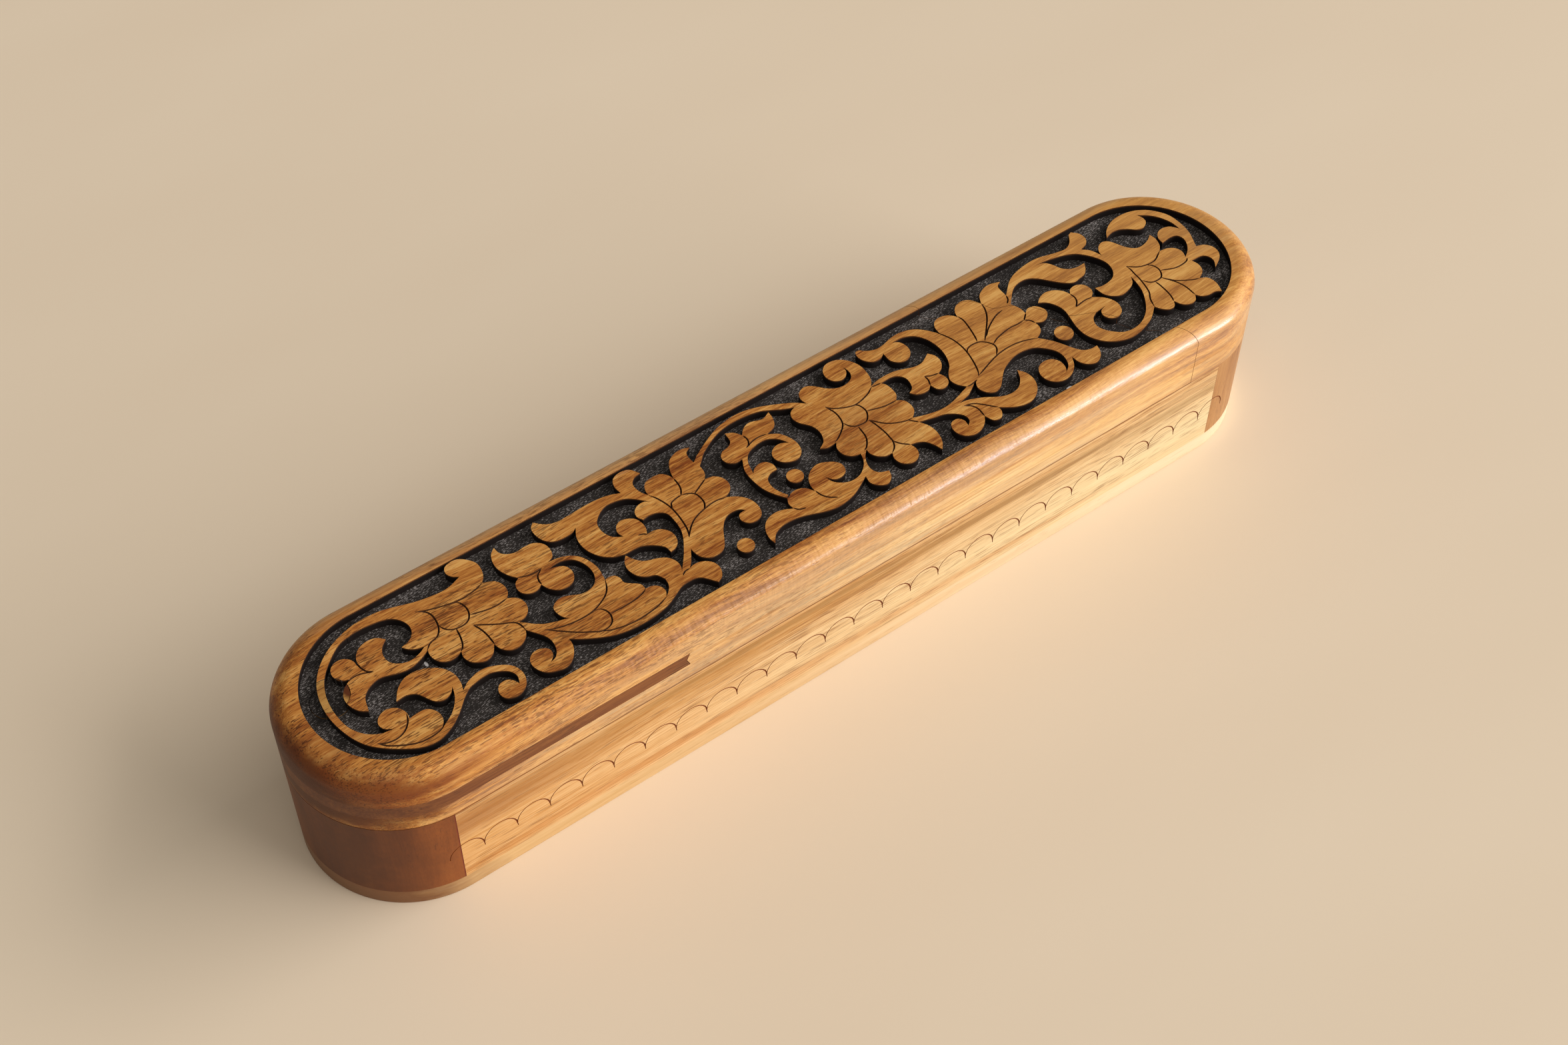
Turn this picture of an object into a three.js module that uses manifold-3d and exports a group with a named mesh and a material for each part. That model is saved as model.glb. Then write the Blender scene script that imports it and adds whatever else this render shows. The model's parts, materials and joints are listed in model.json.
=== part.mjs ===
// A carved wooden pencil box with rounded ends. The body is a thin base plate, two straight side
// panels and two solid end blocks. A thick lid board turns sideways about a wooden dowel at the
// pivot end, and a short fixed end cap stays on the far block beyond a wavy sawn seam. The top of
// lid and cap is one sunk panel with a black ground and a flat scroll of flowers standing in it.
// Millimetres, +Z up, +X from the pivot end to the far end, -Y the front side.

import * as THREE from "three";
import { mergeVertices } from "three/addons/utils/BufferGeometryUtils.js";
import Module from "manifold-3d";

const wasm = await Module();
wasm.setup();

// Body
const boxLength = 240;
const boxWidth = 46;
const basePlateThickness = 4.2;
const wallHeight = 22.1;
const sidePanelThickness = 5;
const endBlockLength = 21.5;

// Lid and end cap
const lidThickness = 15.4;
const lidRunningGap = 0.3;
const lidRoundOver = 3.5;
const roundOverSteps = 6;
const capSeamGap = 0.3;

// Sunk carved panel
const rimAtSide = 4.5;
const rimAtEnd = 6.1;
const carvingDepth = 2;

// Pivot dowel and slip plate
const pivotFromEnd = 12.3;
const pivotOffCentre = 4;
const dowelRadius = 3.9;
const dowelLidClearance = 0.1;
const dowelBlockClearance = 0.15;
const dowelDepthInBlock = 16;
const boreFloorClearance = 0.5;
const leafThickness = 3.8;
const slipThickness = 3.5;
const slipLength = 76;
const slipEndGap = 0.3;

// The carved scroll and the seam were laid out on a panel of this half length and half width, and
// are fitted to the panel of the box.
const drawnCorner = [113.9, 18.5];

// The wavy seam between lid and end cap, read from the back edge to the front edge. Its distance
// from the pivot grows all the way, so the lid leaves the cap as soon as it turns to the front.
const capSeam = [
  [43.6, 26], [44.4, 22], [45.3, 19.6], [46.5, 16.6], [49, 15.1], [52.5, 14.7], [55.2, 14.3],
  [57.2, 12.3], [58.7, 9.1], [62.3, 7.5], [65.4, 4.8], [67.6, 1.4], [70.6, -2.4], [75.6, -5],
  [78.6, -8.6], [80.9, -12.9], [84.6, -15.8], [87.5, -19.4], [90, -23], [91.8, -26],
];
const capSeamSteps = 76;

// The scroll's leaves, stems and flowers, from the pivot end to the far end. A row is a smooth
// stretch from its own first point to the first point of the next row, where the line turns
// sharply. Neighbours overlap where they join.
const motifs = {
  nearScroll: [
    [
      [-97.7, 15.5], [-101.2, 14.2], [-104.4, 12.2], [-107.1, 9.5], [-108.9, 6.5], [-109.9, 3.1],
      [-110.2, -0.4], [-109.8, -4.1], [-108.6, -8.1], [-106.5, -11.3], [-100, -16.2],
      [-96.5, -16.9], [-93.2, -15.9], [-90.3, -14], [-87.3, -11.3], [-85.6, -10.1],
    ],
    [[-83.5, -9.5]],
    [[-83.5, -8.1], [-85.3, -8.8]],
    [
      [-86.8, -9.9], [-86.2, -7.9], [-86.2, -5.6], [-87.2, -3.4], [-89.1, -1.7], [-91.8, -0.7],
      [-94.4, -0.9], [-96.6, -2.4],
    ],
    [[-98.2, -4.6], [-96, -4.5], [-94.3, -5.4], [-92.3, -8.9], [-90.6, -9.6], [-89, -9]],
    [[-88, -7.9], [-88.8, -10.1], [-90.3, -12.2], [-92.1, -13.7]],
    [[-94.3, -14.8], [-93.2, -13.2], [-93.2, -11.3], [-94.4, -9.6], [-96.2, -9.2]],
    [
      [-98.2, -9.5], [-98, -7.9], [-98.8, -6.1], [-100.7, -5.1], [-102.7, -5.8], [-103.6, -7.2],
      [-103.2, -8.7],
    ],
    [
      [-101.7, -9.7], [-104.1, -9.3], [-106.5, -7.7], [-108.2, -5], [-108.8, -1.9],
      [-108.7, 1.9], [-107.8, 5.4], [-105.9, 8.7], [-100.6, 13.2],
    ],
    [[-97.7, 14.1]],
  ],
  nearLeaf: [
    [
      [-98.2, 15.3], [-95.6, 15.9], [-92.7, 16], [-89.4, 15.6], [-82.7, 13.5], [-78.2, 12.8],
      [-76.2, 12.9],
    ],
    [
      [-73.1, 13.9], [-74.3, 14.8], [-74.9, 16.2], [-74.4, 17.5], [-72.9, 18.1], [-71.2, 17.9],
      [-69.7, 16.6], [-68.7, 14.9], [-68.7, 13.1], [-69.3, 11.3],
    ],
    [[-70.4, 10]], [[-74.1, 8.9]], [[-78.2, 9.3]], [[-81.8, 8.7]], [[-82.3, 5.2]],
    [[-84.7, 3.4]],
    [[-86.9, 3.3], [-88.8, 3.7], [-90.2, 4.6]],
    [
      [-91, 5.7], [-89.1, 6.2], [-87.7, 7.5], [-87.2, 9.2], [-87.7, 11.1], [-89.1, 12.8],
      [-91.3, 13.7], [-96.5, 14.2],
    ],
    [[-98.2, 13.9]],
  ],
  nearComma: [
    [[-92.5, 9.2], [-93.8, 10.5], [-95.6, 10.9], [-97.7, 10.3], [-99.2, 8.8]],
    [[-99.8, 6.8]], [[-100.9, 7.5]], [[-102.3, 6.3]],
    [[-103.1, 4.7], [-104.7, 3.6], [-105.8, 1.8], [-105.8, -0.3], [-104.9, -2.3]],
    [[-103.5, -3.5], [-102.1, 0.1], [-98.5, 1.9], [-94.1, 0.7], [-92.1, 0.5], [-89.7, 1.1]],
    [[-87.5, 2.1]], [[-85.9, 1.6]], [[-85.3, 3.7]],
    [
      [-87.3, 3.3], [-89.1, 2.4], [-91.3, 2], [-93.4, 2.7], [-94.7, 4.2], [-94.8, 6.1],
      [-94, 7.9],
    ],
  ],
  flowerOne: [
    [[-86.2, 3.3], [-87.3, 2.1], [-87.6, 0.5], [-86.9, -1.4], [-85.3, -2.4], [-83.5, -2.3]],
    [[-82.3, -1.8], [-82.7, -3.2], [-82.1, -5.1], [-79.6, -6.5], [-77.7, -5.8]],
    [
      [-76.4, -4.1], [-75.9, -5.8], [-74.6, -7.1], [-72.9, -7.4], [-71.2, -6.7], [-70, -5.4],
      [-69.7, -3.9],
    ],
    [[-69.8, -2.3], [-68.2, -2.1], [-66.8, -1], [-66.2, 0.8], [-66.8, 2.7]],
    [[-68.5, 3.9], [-67.5, 5.2], [-67.3, 6.9], [-68.1, 8.8]],
    [[-70.5, 10]], [[-76.5, 10.2]], [[-81.8, 9.6]], [[-82.9, 5.8]], [[-85, 4]],
  ],
  curlOne: [
    [
      [-84.7, -8.6], [-82.7, -7.9], [-80.3, -8], [-76.8, -9.9], [-75.7, -11.7], [-75.6, -13.8],
      [-76.5, -15.7], [-78.2, -16.8], [-79.7, -16.9], [-81.3, -16.1], [-81.7, -14.4],
      [-80.7, -12.8], [-79.1, -12.6], [-78.1, -13.3],
    ],
    [[-77.4, -14.8], [-76.8, -12.9], [-77.5, -11.2], [-80.3, -9.5], [-82.3, -9.4]],
    [[-84.7, -9.8]],
  ],
  scrollTwo: [
    [
      [-63.9, 16.1], [-63.7, 14.4], [-62.6, 13.2], [-60.9, 12.6], [-58.8, 12.8], [-56.9, 12.5],
      [-55.4, 11.1], [-55.1, 9.3], [-55.7, 7.5],
    ],
    [[-57.3, 6.7], [-55.3, 6.5], [-52.9, 5.6], [-51.3, 4], [-50.4, 1.8], [-50.1, -0.4]],
    [[-50.6, -3.6], [-49.6, -3.4], [-48.5, -3.9], [-48, -5], [-48, -6.3], [-45.6, -8.7]],
    [[-45.5, -10.1], [-44, -10.3], [-42.9, -11.3], [-42.6, -12.8]],
    [[-43.4, -14.2]], [[-46.2, -15.6]], [[-53.5, -16]], [[-59.4, -13.9]], [[-63.5, -11]],
    [[-66.2, -8.1]],
    [[-67.1, -4.9], [-66.2, -5.6], [-63.5, -6.7]],
    [
      [-61.2, -7.4], [-62, -6.7], [-62.6, -5.3], [-62.6, -3.6], [-61.6, -2.6], [-60, -2.2],
      [-58.2, -2.8], [-56.5, -3.7], [-54.7, -3.9], [-52.9, -3.2], [-51.8, -1.7], [-51.4, 0.2],
      [-51.8, 2.5], [-52.9, 4.4], [-54.7, 5.4], [-56.5, 5.5],
    ],
    [
      [-58.4, 5.1], [-56.6, 4.8], [-55.1, 3.9], [-54.6, 2.4], [-54.9, 0.9], [-56, -0.3],
      [-57.8, -0.7], [-59.4, -0.2], [-60.7, 1.2],
    ],
    [[-61.3, 2.8], [-62.6, 2.1], [-64.1, 2.2], [-65.4, 3.2], [-65.7, 4.7], [-65.2, 6]],
    [[-64, 6.8], [-65.3, 8.7], [-66.1, 11.1], [-66, 13.1], [-65.2, 15]],
  ],
  lowStemOne: [
    [[-69.7, -4.7], [-67.3, -8.7], [-67.1, -10.6], [-67.7, -12.6], [-68.7, -13.7]],
    [
      [-70, -14.1], [-68.7, -12.9], [-68.5, -11.4], [-69.7, -10.3], [-71.5, -10.2],
      [-72.9, -11.3], [-73.2, -13.1], [-72.2, -15.3], [-70, -16.5], [-68.2, -16.8],
      [-66.5, -16.1], [-65, -14.5], [-64.3, -12.8],
    ],
    [[-64.2, -11.4], [-62.4, -12.8], [-56.5, -15.9], [-50.6, -16.8], [-44.7, -16.1]],
    [[-39.6, -13.8]], [[-38.8, -10.7]],
    [[-41, -10.3], [-41.2, -11.7], [-42.1, -13.1]],
    [[-43.4, -14.2]], [[-46.2, -15.1]], [[-53.5, -15.1]], [[-61.2, -12.2]], [[-64.7, -8.9]],
    [[-61.2, -7.4], [-66.2, -5.6]],
    [[-69.8, -2.3]], [[-70.6, -3.4]],
  ],
  topLeafOne: [
    [[-54.2, 17.1], [-53.4, 16.1], [-52.1, 15], [-50.3, 14.4], [-42.1, 14.6], [-38.2, 14.1]],
    [[-35.7, 13.1], [-35.8, 15.3], [-34.9, 17.1], [-32.8, 17.8], [-30.9, 17.3]],
    [[-29.6, 15.2], [-31, 15], [-32.3, 13.9], [-32.6, 12.4], [-32.3, 10.8]],
    [[-31.5, 9.3]], [[-30.3, 6.3]], [[-30, 3.4]], [[-29.9, -0.4]], [[-30.6, -1.9]],
    [[-31.1, -0.4], [-31.2, 3], [-32.2, 4.2], [-34.1, 4.9]],
    [[-36, 4.7], [-36.6, 5.9], [-36.2, 7.4], [-34.7, 8.4], [-33.2, 8.4]],
    [
      [-32.2, 7.7], [-34.6, 10.4], [-36.2, 11.5], [-40, 12.1], [-42.6, 10.8], [-44, 9.2],
      [-44.3, 6.9], [-43.5, 4.7],
    ],
    [
      [-41.6, 3.3], [-42, 4.9], [-41.2, 6.5], [-39.7, 7.1], [-37.4, 6], [-36.7, 4.3],
      [-36.8, 2.5],
    ],
    [
      [-37.5, 1.1], [-35.9, 1.1], [-34.4, 0.4], [-33.4, -1], [-33.2, -2.6], [-33.8, -4.2],
      [-34.9, -5.1],
    ],
    [[-36.2, -5.4], [-36.5, -3.6], [-40, -0.8]],
    [[-44, -0.5], [-46.2, 0.3], [-48.1, 2], [-49.3, 4.4], [-49.6, 6.7], [-49.2, 8.8]],
    [[-48, 10.9], [-49.4, 10.2], [-53.4, 10.5], [-54.9, 11.9], [-55.5, 14], [-55.3, 15.9]],
  ],
  waveLeafOne: [
    [[-44, -0.9], [-45.1, -2.2], [-45.6, -3.9], [-45.1, -6.2], [-43.8, -7.6], [-41.9, -8.5]],
    [[-41, -10.3]], [[-41.2, -11.7]], [[-40.6, -13.7]],
    [[-40, -13.9], [-38.5, -13.6], [-35.6, -13.9]],
    [[-33, -17.1], [-31.6, -16.3], [-30.7, -14.4], [-31, -12.6], [-32.4, -11.2], [-34.1, -10.7]],
    [[-35.7, -11], [-34.7, -10.1]],
    [[-32.6, -7.1]], [[-30.3, -4.8]], [[-29.9, -0.4]], [[-30.3, 1.6]],
    [[-30.9, 1.4], [-31.6, -2.5], [-34.1, -6.8]],
    [
      [-37.4, -10.9], [-36.8, -9.7], [-36.7, -8.1], [-37.6, -6.3], [-39.1, -5.3], [-41.8, -4.2],
      [-43.1, -2.8],
    ],
  ],
  flowerTwo: [
    [[-31.5, 9.3], [-31.3, 10.8], [-30.1, 12.5], [-26.5, 12.6], [-25.3, 11.3]],
    [[-24.9, 9.9], [-24.4, 11.8], [-23.1, 14.2], [-21.3, 15.3], [-19.4, 15.6]],
    [[-17.5, 15], [-18.8, 14.2], [-19.2, 12.5]],
    [[-19.1, 11.1]], [[-17.4, 12.4]], [[-16.8, 11.3]],
    [[-18.7, 9.6], [-18.8, 8.1], [-19.2, 7]],
    [[-20, 6.1], [-18.1, 5.7], [-16.8, 4.2], [-16.6, 2.2], [-17.4, 0.8]],
    [
      [-19.3, -0.3], [-17.2, -1.6], [-15.7, -3.6], [-15.3, -6], [-16, -8.1], [-17.5, -8.9],
      [-19.3, -8.6], [-20.3, -7], [-19.7, -5.6],
    ],
    [
      [-18, -5.4], [-19, -4.5], [-20.9, -4.2], [-22.6, -4.8], [-24.3, -6.5], [-27.1, -10.7],
      [-28.8, -11.4], [-30.7, -11.2], [-32.1, -10], [-32.6, -8.3],
    ],
    [[-32.6, -7.1]], [[-32.4, -5.4]], [[-30.3, -2.5]], [[-30.3, 3.4]],
  ],
  highStemOne: [
    [[-19.4, 10.8], [-17.6, 12.2], [-9.1, 16.2], [-2.1, 16.5], [7.1, 12.4]],
    [
      [9.3, 10.5], [9, 12.2], [9.7, 13.8], [11.5, 14.6], [12.9, 14.1], [15.6, 11.2],
      [17.4, 10.2], [19.4, 10.1], [21, 10.7], [21.9, 11.9], [22, 13.4],
    ],
    [
      [21.7, 14.4], [21.6, 13.1], [20.7, 12], [19.3, 11.6], [17.8, 12.3], [17.1, 13.8],
      [17.4, 15.6], [18.8, 17], [20.6, 17.2], [22.4, 16.6], [24, 14.9], [24.9, 12.7],
      [24.9, 10.3], [24.3, 8],
    ],
    [[23.1, 6.4]], [[20.6, 5.2]], [[16.5, 4.9]], [[12.7, 6.3]], [[8.8, 8.7]], [[7.1, 10.2]],
    [[6.6, 11.2], [4.4, 12.2], [0, 14.6], [-4.7, 15.4], [-9.7, 15], [-15.6, 12.3]],
    [[-18.4, 9.9]],
  ],
  flowerThree: [
    [
      [6.6, 11.2], [5.2, 10.6], [4.4, 9.2], [4.6, 7.5], [6.3, 4.9], [6.7, 3.3], [6.5, 1.6],
      [5.6, -0.1],
    ],
    [[4, -1.1], [5.3, -1.8]],
    [[7.7, -1.7], [6.8, -3.1], [6.8, -5], [7.9, -6.5], [9.6, -7.1]],
    [[11, -6.9]],
    [[11.5, -6.9], [11.4, -8.2], [12.2, -9.7], [13.7, -10.7]],
    [
      [15.2, -10.8], [14.6, -12.2], [14.9, -13.9], [16.2, -15.1], [17.8, -15.3], [19.3, -14.4],
      [19.9, -12.8],
    ],
    [[19.6, -11.2], [21.2, -11.6], [22.5, -12.4], [23.5, -14.1]],
    [[24.1, -16.1], [25.4, -14.5], [26.2, -11.9], [26, -9.5]],
    [[24.9, -7.3]], [[24.7, -6.6]],
    [[24.6, -5.7], [26.2, -4.2], [26.6, -2.5], [26.2, -0.8]],
    [[24.9, 0.2], [26, 1.6], [26, 5]],
    [[25.3, 6]], [[22.6, 6.4]], [[17.6, 6.3]], [[12.7, 9.3]], [[9.3, 10.5]],
  ],
  stemThree: [
    [[22.7, 6.3], [25, 7], [29.7, 7], [34.1, 5.5], [36, 5.5]],
    [[38.7, 6.9], [39.6, 5.5], [39.6, 3.6], [38.5, 1.9]],
    [[36.9, 1], [37.5, -0.6], [37.1, -2.2], [35.4, -3], [34, -2.4]],
    [[33.4, -0.6], [32.4, -1.4], [30.9, -1.5], [29.4, -0.9]],
    [[28.5, 0.2], [29.7, 0.9], [30.4, 2.4], [30.5, 4], [29.7, 5.3], [28.4, 6]],
    [[25.3, 6]], [[23.5, 5.2]],
  ],
  lowLeafTwo: [
    [[-18.3, -15.8], [-18.5, -14.2], [-17.9, -12], [-16.5, -10.3], [-14.4, -9.5], [-12.3, -9.7]],
    [[-10, -10.8], [-10.1, -9.2]],
    [[-9.4, -7.8], [-10.9, -5.4], [-12, -2.5], [-12.1, 2.8]],
    [[-10.6, 6], [-12.3, 6], [-13.7, 7.1], [-13.9, 8.7], [-12.8, 10], [-11, 10.4], [-9.8, 11.3]],
    [[-9.4, 13.8], [-7.8, 12.9]],
    [[-6.8, 11.3], [-5.4, 12.7], [-3.7, 13.3], [-0.6, 12.5]],
    [[1.4, 13.3], [1.1, 11.3], [0.1, 9.5]],
    [
      [-2.5, 8.5], [-0.4, 7.1], [0.7, 5], [1.1, 3], [0.6, 0.8], [-0.9, -0.5], [-2.6, -0.5],
      [-4.4, 0.5], [-5.2, 2.1], [-4.8, 3.7], [-3.2, 4.8], [-1.6, 4.8],
    ],
    [[-0.2, 3.9], [-1.2, 5.8], [-2.5, 7], [-4.1, 7.6], [-8.2, 6.8], [-10, 4.9]],
    [[-11.1, 1.4], [-10.3, 2.3], [-8.8, 2.9], [-7.3, 2.6], [-6.4, 1.2]],
    [[-6.5, -0.4], [-8.2, -0.5], [-9.6, -1.5], [-10.1, -3.4], [-9.7, -5.4]],
    [[-8.7, -7.4], [-6.8, -7.1], [-5, -7.8]],
    [
      [-3.8, -9.7], [-3.6, -7.8], [-2.6, -5.9], [-0.9, -4.6], [1.2, -4.2], [4.4, -6], [5, -7.5],
      [4.4, -9.1], [2.8, -9.8], [1.2, -9.4],
    ],
    [
      [0.1, -7.8], [0.6, -9.7], [2.1, -11.2], [4.1, -11.9], [6.2, -11.6], [8.1, -10.3],
      [9.3, -8.7],
    ],
    [[9.8, -7.2]], [[10.3, -6]], [[11.8, -6.3]],
    [[11.5, -6.9], [10.2, -8.2], [9.2, -10.1], [9, -11.9], [9.7, -13.3]],
    [[11.7, -14.2], [11, -15.8], [9.4, -16.8], [7.7, -16.1], [6.6, -14.5]],
    [
      [6.9, -12.6], [1.8, -15.1], [-2.1, -15.7], [-4.7, -15.3], [-10, -13.4], [-12.3, -13],
      [-14.7, -13.1], [-16.8, -14],
    ],
  ],
  commaThree: [
    [
      [27.5, 16.3], [28.7, 15.2], [30.6, 14.4], [32.6, 14.5], [35, 15.1], [37.1, 15.3],
      [39.1, 15], [40.9, 14.2], [42.6, 12.7],
    ],
    [[44.1, 10.6]], [[45.9, 6.3]], [[45.7, 0.5]], [[43.8, -3.9]],
    [[42.4, -5.2], [41.2, -5.6]],
    [[40.7, -6]], [[38.2, -7.5]],
    [
      [35, -8.3], [36.8, -8.5], [40.3, -10], [42.1, -11.2], [44.1, -12.2], [46.2, -12.5],
      [48.1, -12], [49.9, -10.3],
    ],
    [
      [51, -8.1], [52, -9.8], [52.2, -11.9], [51.5, -13.9], [50, -15.6], [47.9, -16.6],
      [45.9, -16.6], [43.5, -15.7],
    ],
    [[40.9, -13.9], [40.8, -15.1], [39.6, -16.5], [37.9, -16.2]],
    [
      [37, -14.1], [36, -15.4], [34.4, -16.5], [32.4, -16.9], [30.4, -16.1], [29.4, -14.5],
      [29.4, -12.8], [30.3, -11.5], [31.9, -11.4], [32.8, -12.6],
    ],
    [[32.6, -14.2], [33.7, -13.2], [33.8, -11.7], [32.6, -10.1], [30.6, -8.8], [28.2, -8.2]],
    [[24.9, -7.3]], [[22.9, -5.4]],
    [[24.6, -5.7], [27.6, -6.7], [30.6, -7.3], [33.5, -7.2]],
    [
      [39.4, -5.5], [38.1, -3.8], [37.7, -2], [38.7, -0.2], [40.3, 1.5], [41.5, 4.3],
      [41.8, 7.2], [41.2, 10.3], [39.6, 12.7], [37.4, 13.8],
    ],
    [[34.6, 13.9], [35.9, 13.1], [36.5, 11.2], [36, 9.3], [34.3, 8.1], [32.4, 8.4], [31.1, 9.9]],
    [[31.1, 12.4], [29.7, 11.7], [27.9, 11.9], [26.5, 13.3], [26.1, 15], [26.6, 16.3]],
  ],
  flowerFour: [
    [[44.6, 10.3], [44.9, 12.1], [45.9, 13.4], [47.4, 13.8], [49.1, 13.4], [50.3, 12.4]],
    [[50.8, 11.5], [51.3, 13.1], [52.6, 14.4], [54.4, 14.8], [56, 14.2]],
    [[57.6, 11.8], [58.8, 13.8], [60.9, 15], [62.9, 15.2]],
    [[65.2, 14.5], [63.9, 13.7]],
    [
      [63.5, 10.4], [67.3, 13.6], [70.3, 14.8], [75.9, 15.4], [81.2, 14.2], [83.8, 13.9],
      [85.7, 14.9],
    ],
    [[87.2, 16.9]],
    [[88.1, 17.2], [89.3, 15.8], [89.5, 14], [88.5, 12.5]],
    [[86.3, 11.7], [87.8, 10.2]],
    [
      [88.8, 7.5], [89, 8.7], [90.2, 10.2], [91.6, 10.7], [92.9, 10.1], [95, 6.2], [96.5, 4.8],
      [98.2, 4.6], [100.3, 5.2],
    ],
    [[101.8, 6.2], [102, 4.6], [101.3, 2.4]],
    [[100, 1]], [[97.7, 0.5]], [[93.2, 0.5]], [[90.8, 1.8]], [[90.7, -1]],
    [[89.5, -1.2], [88.2, -3.1], [84.4, -4.3], [82.5, -3.6], [81.1, -2]],
    [
      [80.7, 0.7], [82.3, 0.3], [84.4, 0.4], [86.3, 1.1], [87.6, 2.7], [88.1, 4.9], [87.5, 7.2],
      [86, 9.7], [83.8, 11.8], [78.2, 13.5],
    ],
    [[75, 13.8], [76.9, 13.2], [78.1, 11.5], [78.7, 9.9], [80, 8.6], [81.8, 8]],
    [
      [84, 8], [83.1, 6.6], [81.8, 5.4], [80, 5], [78.2, 4.8], [76.2, 6.1], [72.3, 10.6],
      [70.6, 11.7], [68.5, 11.9], [66.2, 11.1],
    ],
    [[62.6, 7.8], [63.4, 5.6]],
    [[63.4, 3.7], [64.6, 4.6], [66.3, 4.3], [67.4, 2.8], [67.5, 1.5], [66.3, 0.1], [64.8, -0.3]],
    [[63.2, 0.4], [63.2, -1], [62.5, -2.3]],
    [[60.6, -3.4], [62.8, -6.2], [65.9, -11.7], [67.7, -12.6]],
    [[69.4, -12.6], [69, -14.1], [67.8, -15.6], [66.2, -16.3], [64.4, -15.7], [63.2, -14.1]],
    [
      [62.9, -12], [61.6, -14.2], [59.7, -15.7], [57.6, -16.2], [55.6, -15.6], [54.3, -14.1],
      [54.1, -12], [55.3, -10.1], [57.2, -9.5], [59, -10], [60, -11.7], [59.7, -13.7],
    ],
    [
      [59, -14.7], [60.7, -13.4], [61.6, -11], [61.3, -8.7], [58.5, -5.4], [56.2, -4.6],
      [53.8, -4.5], [51.2, -5.2], [48.8, -6.4], [44.7, -9.9], [42.9, -10.1], [41.5, -8.9],
      [41, -7.2], [41.6, -5.8],
    ],
    [[42.4, -5.2]], [[43.5, -3.6]], [[44.9, 0.5]], [[45.1, 6.3]],
  ],
  waveLeafTwo: [
    [[67.7, 4.6], [69, 5.6], [70.9, 6.1], [72.8, 5.6], [74.4, 4.2]],
    [[75.1, 2.5], [76, 3.6], [77.7, 3.9], [79.3, 3], [79.8, 1.2], [79.3, -0.1]],
    [
      [78.2, -0.9], [80.3, -2.6], [81.5, -4.8], [81.5, -6.4], [80.6, -8.1], [78.8, -8.8],
      [77.2, -8.1], [76.6, -6.7], [77.1, -5.4],
    ],
    [[79, -4.7]],
    [
      [76, -5], [74.3, -6], [73.4, -7.8], [73.7, -9.7], [76.8, -13], [80.9, -13.3],
      [84.8, -11.2], [88.2, -6.6], [89.1, -3.8],
    ],
    [[89.5, -1.2]], [[90.8, 1.8]], [[90.2, -5.1]],
    [
      [87.3, -11.2], [83.8, -13.7], [77.3, -15.2], [72.7, -13.5], [70.6, -11.2], [69.6, -8.7],
      [69.6, -6], [70.8, -0.4], [70.3, 1.9], [69.1, 3.7],
    ],
  ],
  flowerFive: [
    [[100, 1], [101.9, 0.7], [103.4, -0.3], [104, -1.9]],
    [[103.4, -3.8], [105.3, -2.4], [106.6, -0.7], [107.1, 1.1], [106.5, 2.5], [105, 2.9]],
    [[102.4, 2.6], [102.7, 4.4], [104, 5.8], [105.6, 6.1], [107.3, 5.5]],
    [[108.6, 3.7], [108.5, 6.3], [107.5, 9], [105.9, 11.1]],
    [
      [103.8, 12.7], [104.3, 11.3], [104, 9.9], [102.3, 8.8], [100.7, 9.2], [99.1, 10.6],
      [97.3, 11.6], [95.6, 11.8],
    ],
    [
      [93.5, 11.2], [94.7, 12.7], [96.8, 14.1], [99.1, 14.8], [101.8, 14.8], [104.4, 14.1],
      [106.8, 12.6], [108.5, 10.6], [109.7, 8.1], [109.7, 2.5],
    ],
    [[107.7, -2.6], [109.4, -3.3], [110.5, -4.8], [110.5, -6.7], [109.4, -8.3]],
    [[106.6, -10], [107.7, -8.3], [107.7, -6.9], [106.8, -5.7]],
    [[103.7, -5.4], [104.1, -7.2], [103.4, -9.2]],
    [[101.3, -10.5], [102.8, -11.4], [103.3, -13.5]],
    [[102.5, -16.3], [101.3, -15.6], [99.4, -15.5], [97.8, -14.8]],
    [[97, -13.7], [95.9, -15], [94.3, -15.2], [92.7, -14.2]],
    [[91.9, -12.4], [90.9, -13.7], [89.4, -13.7], [88.1, -12.6]],
    [[87.3, -11.2]], [[87.9, -8.7]], [[89.6, -4.2]], [[90.2, -1]], [[90.8, 1.8]], [[93.2, 2.2]],
  ],
};

// Round berries between the leaves, as centre and radius
const berries = [[-102.5, 7.6, 2.5], [-23.3, -12.8, 1.8], [-4.6, -4, 1.8], [66.2, -5.6, 2.1]];

// Smoothness of round stretches
const endSegments = 20;
const dowelSegments = 48;
const motifSteps = 2;

// Levels and places that follow from the sizes above
const endRadius = boxWidth / 2;
const endCentre = boxLength / 2 - endRadius;
const blockFace = boxLength / 2 - endBlockLength;
const bodyTop = basePlateThickness + wallHeight;
const lidBottom = bodyTop + lidRunningGap;
const lidTop = lidBottom + lidThickness;
const groundLevel = lidTop - carvingDepth;
const slipBottom = lidBottom + leafThickness;
const slipTop = slipBottom + slipThickness;
const slipEnd = slipLength - boxLength / 2;
const pivotX = pivotFromEnd - boxLength / 2;
const pivotY = pivotOffCentre;
const panelRadius = endRadius - rimAtSide;
const panelHalfLength = boxLength / 2 - rimAtEnd;
const panelCentre = panelHalfLength - panelRadius;
const beyond = 5;

const lightWood = { color: 0xe0b070, roughness: 0.45 };
const lidWood = { color: 0xbd8a4a, roughness: 0.4 };
const blockWood = { color: 0x7a4426, roughness: 0.4 };
const farBlockWood = { color: 0xb0804f, roughness: 0.42 };
const slipWood = { color: 0x6b3e27, roughness: 0.45 };
const baseWood = { color: 0xe6bd7e, roughness: 0.5 };

// Solids

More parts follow.
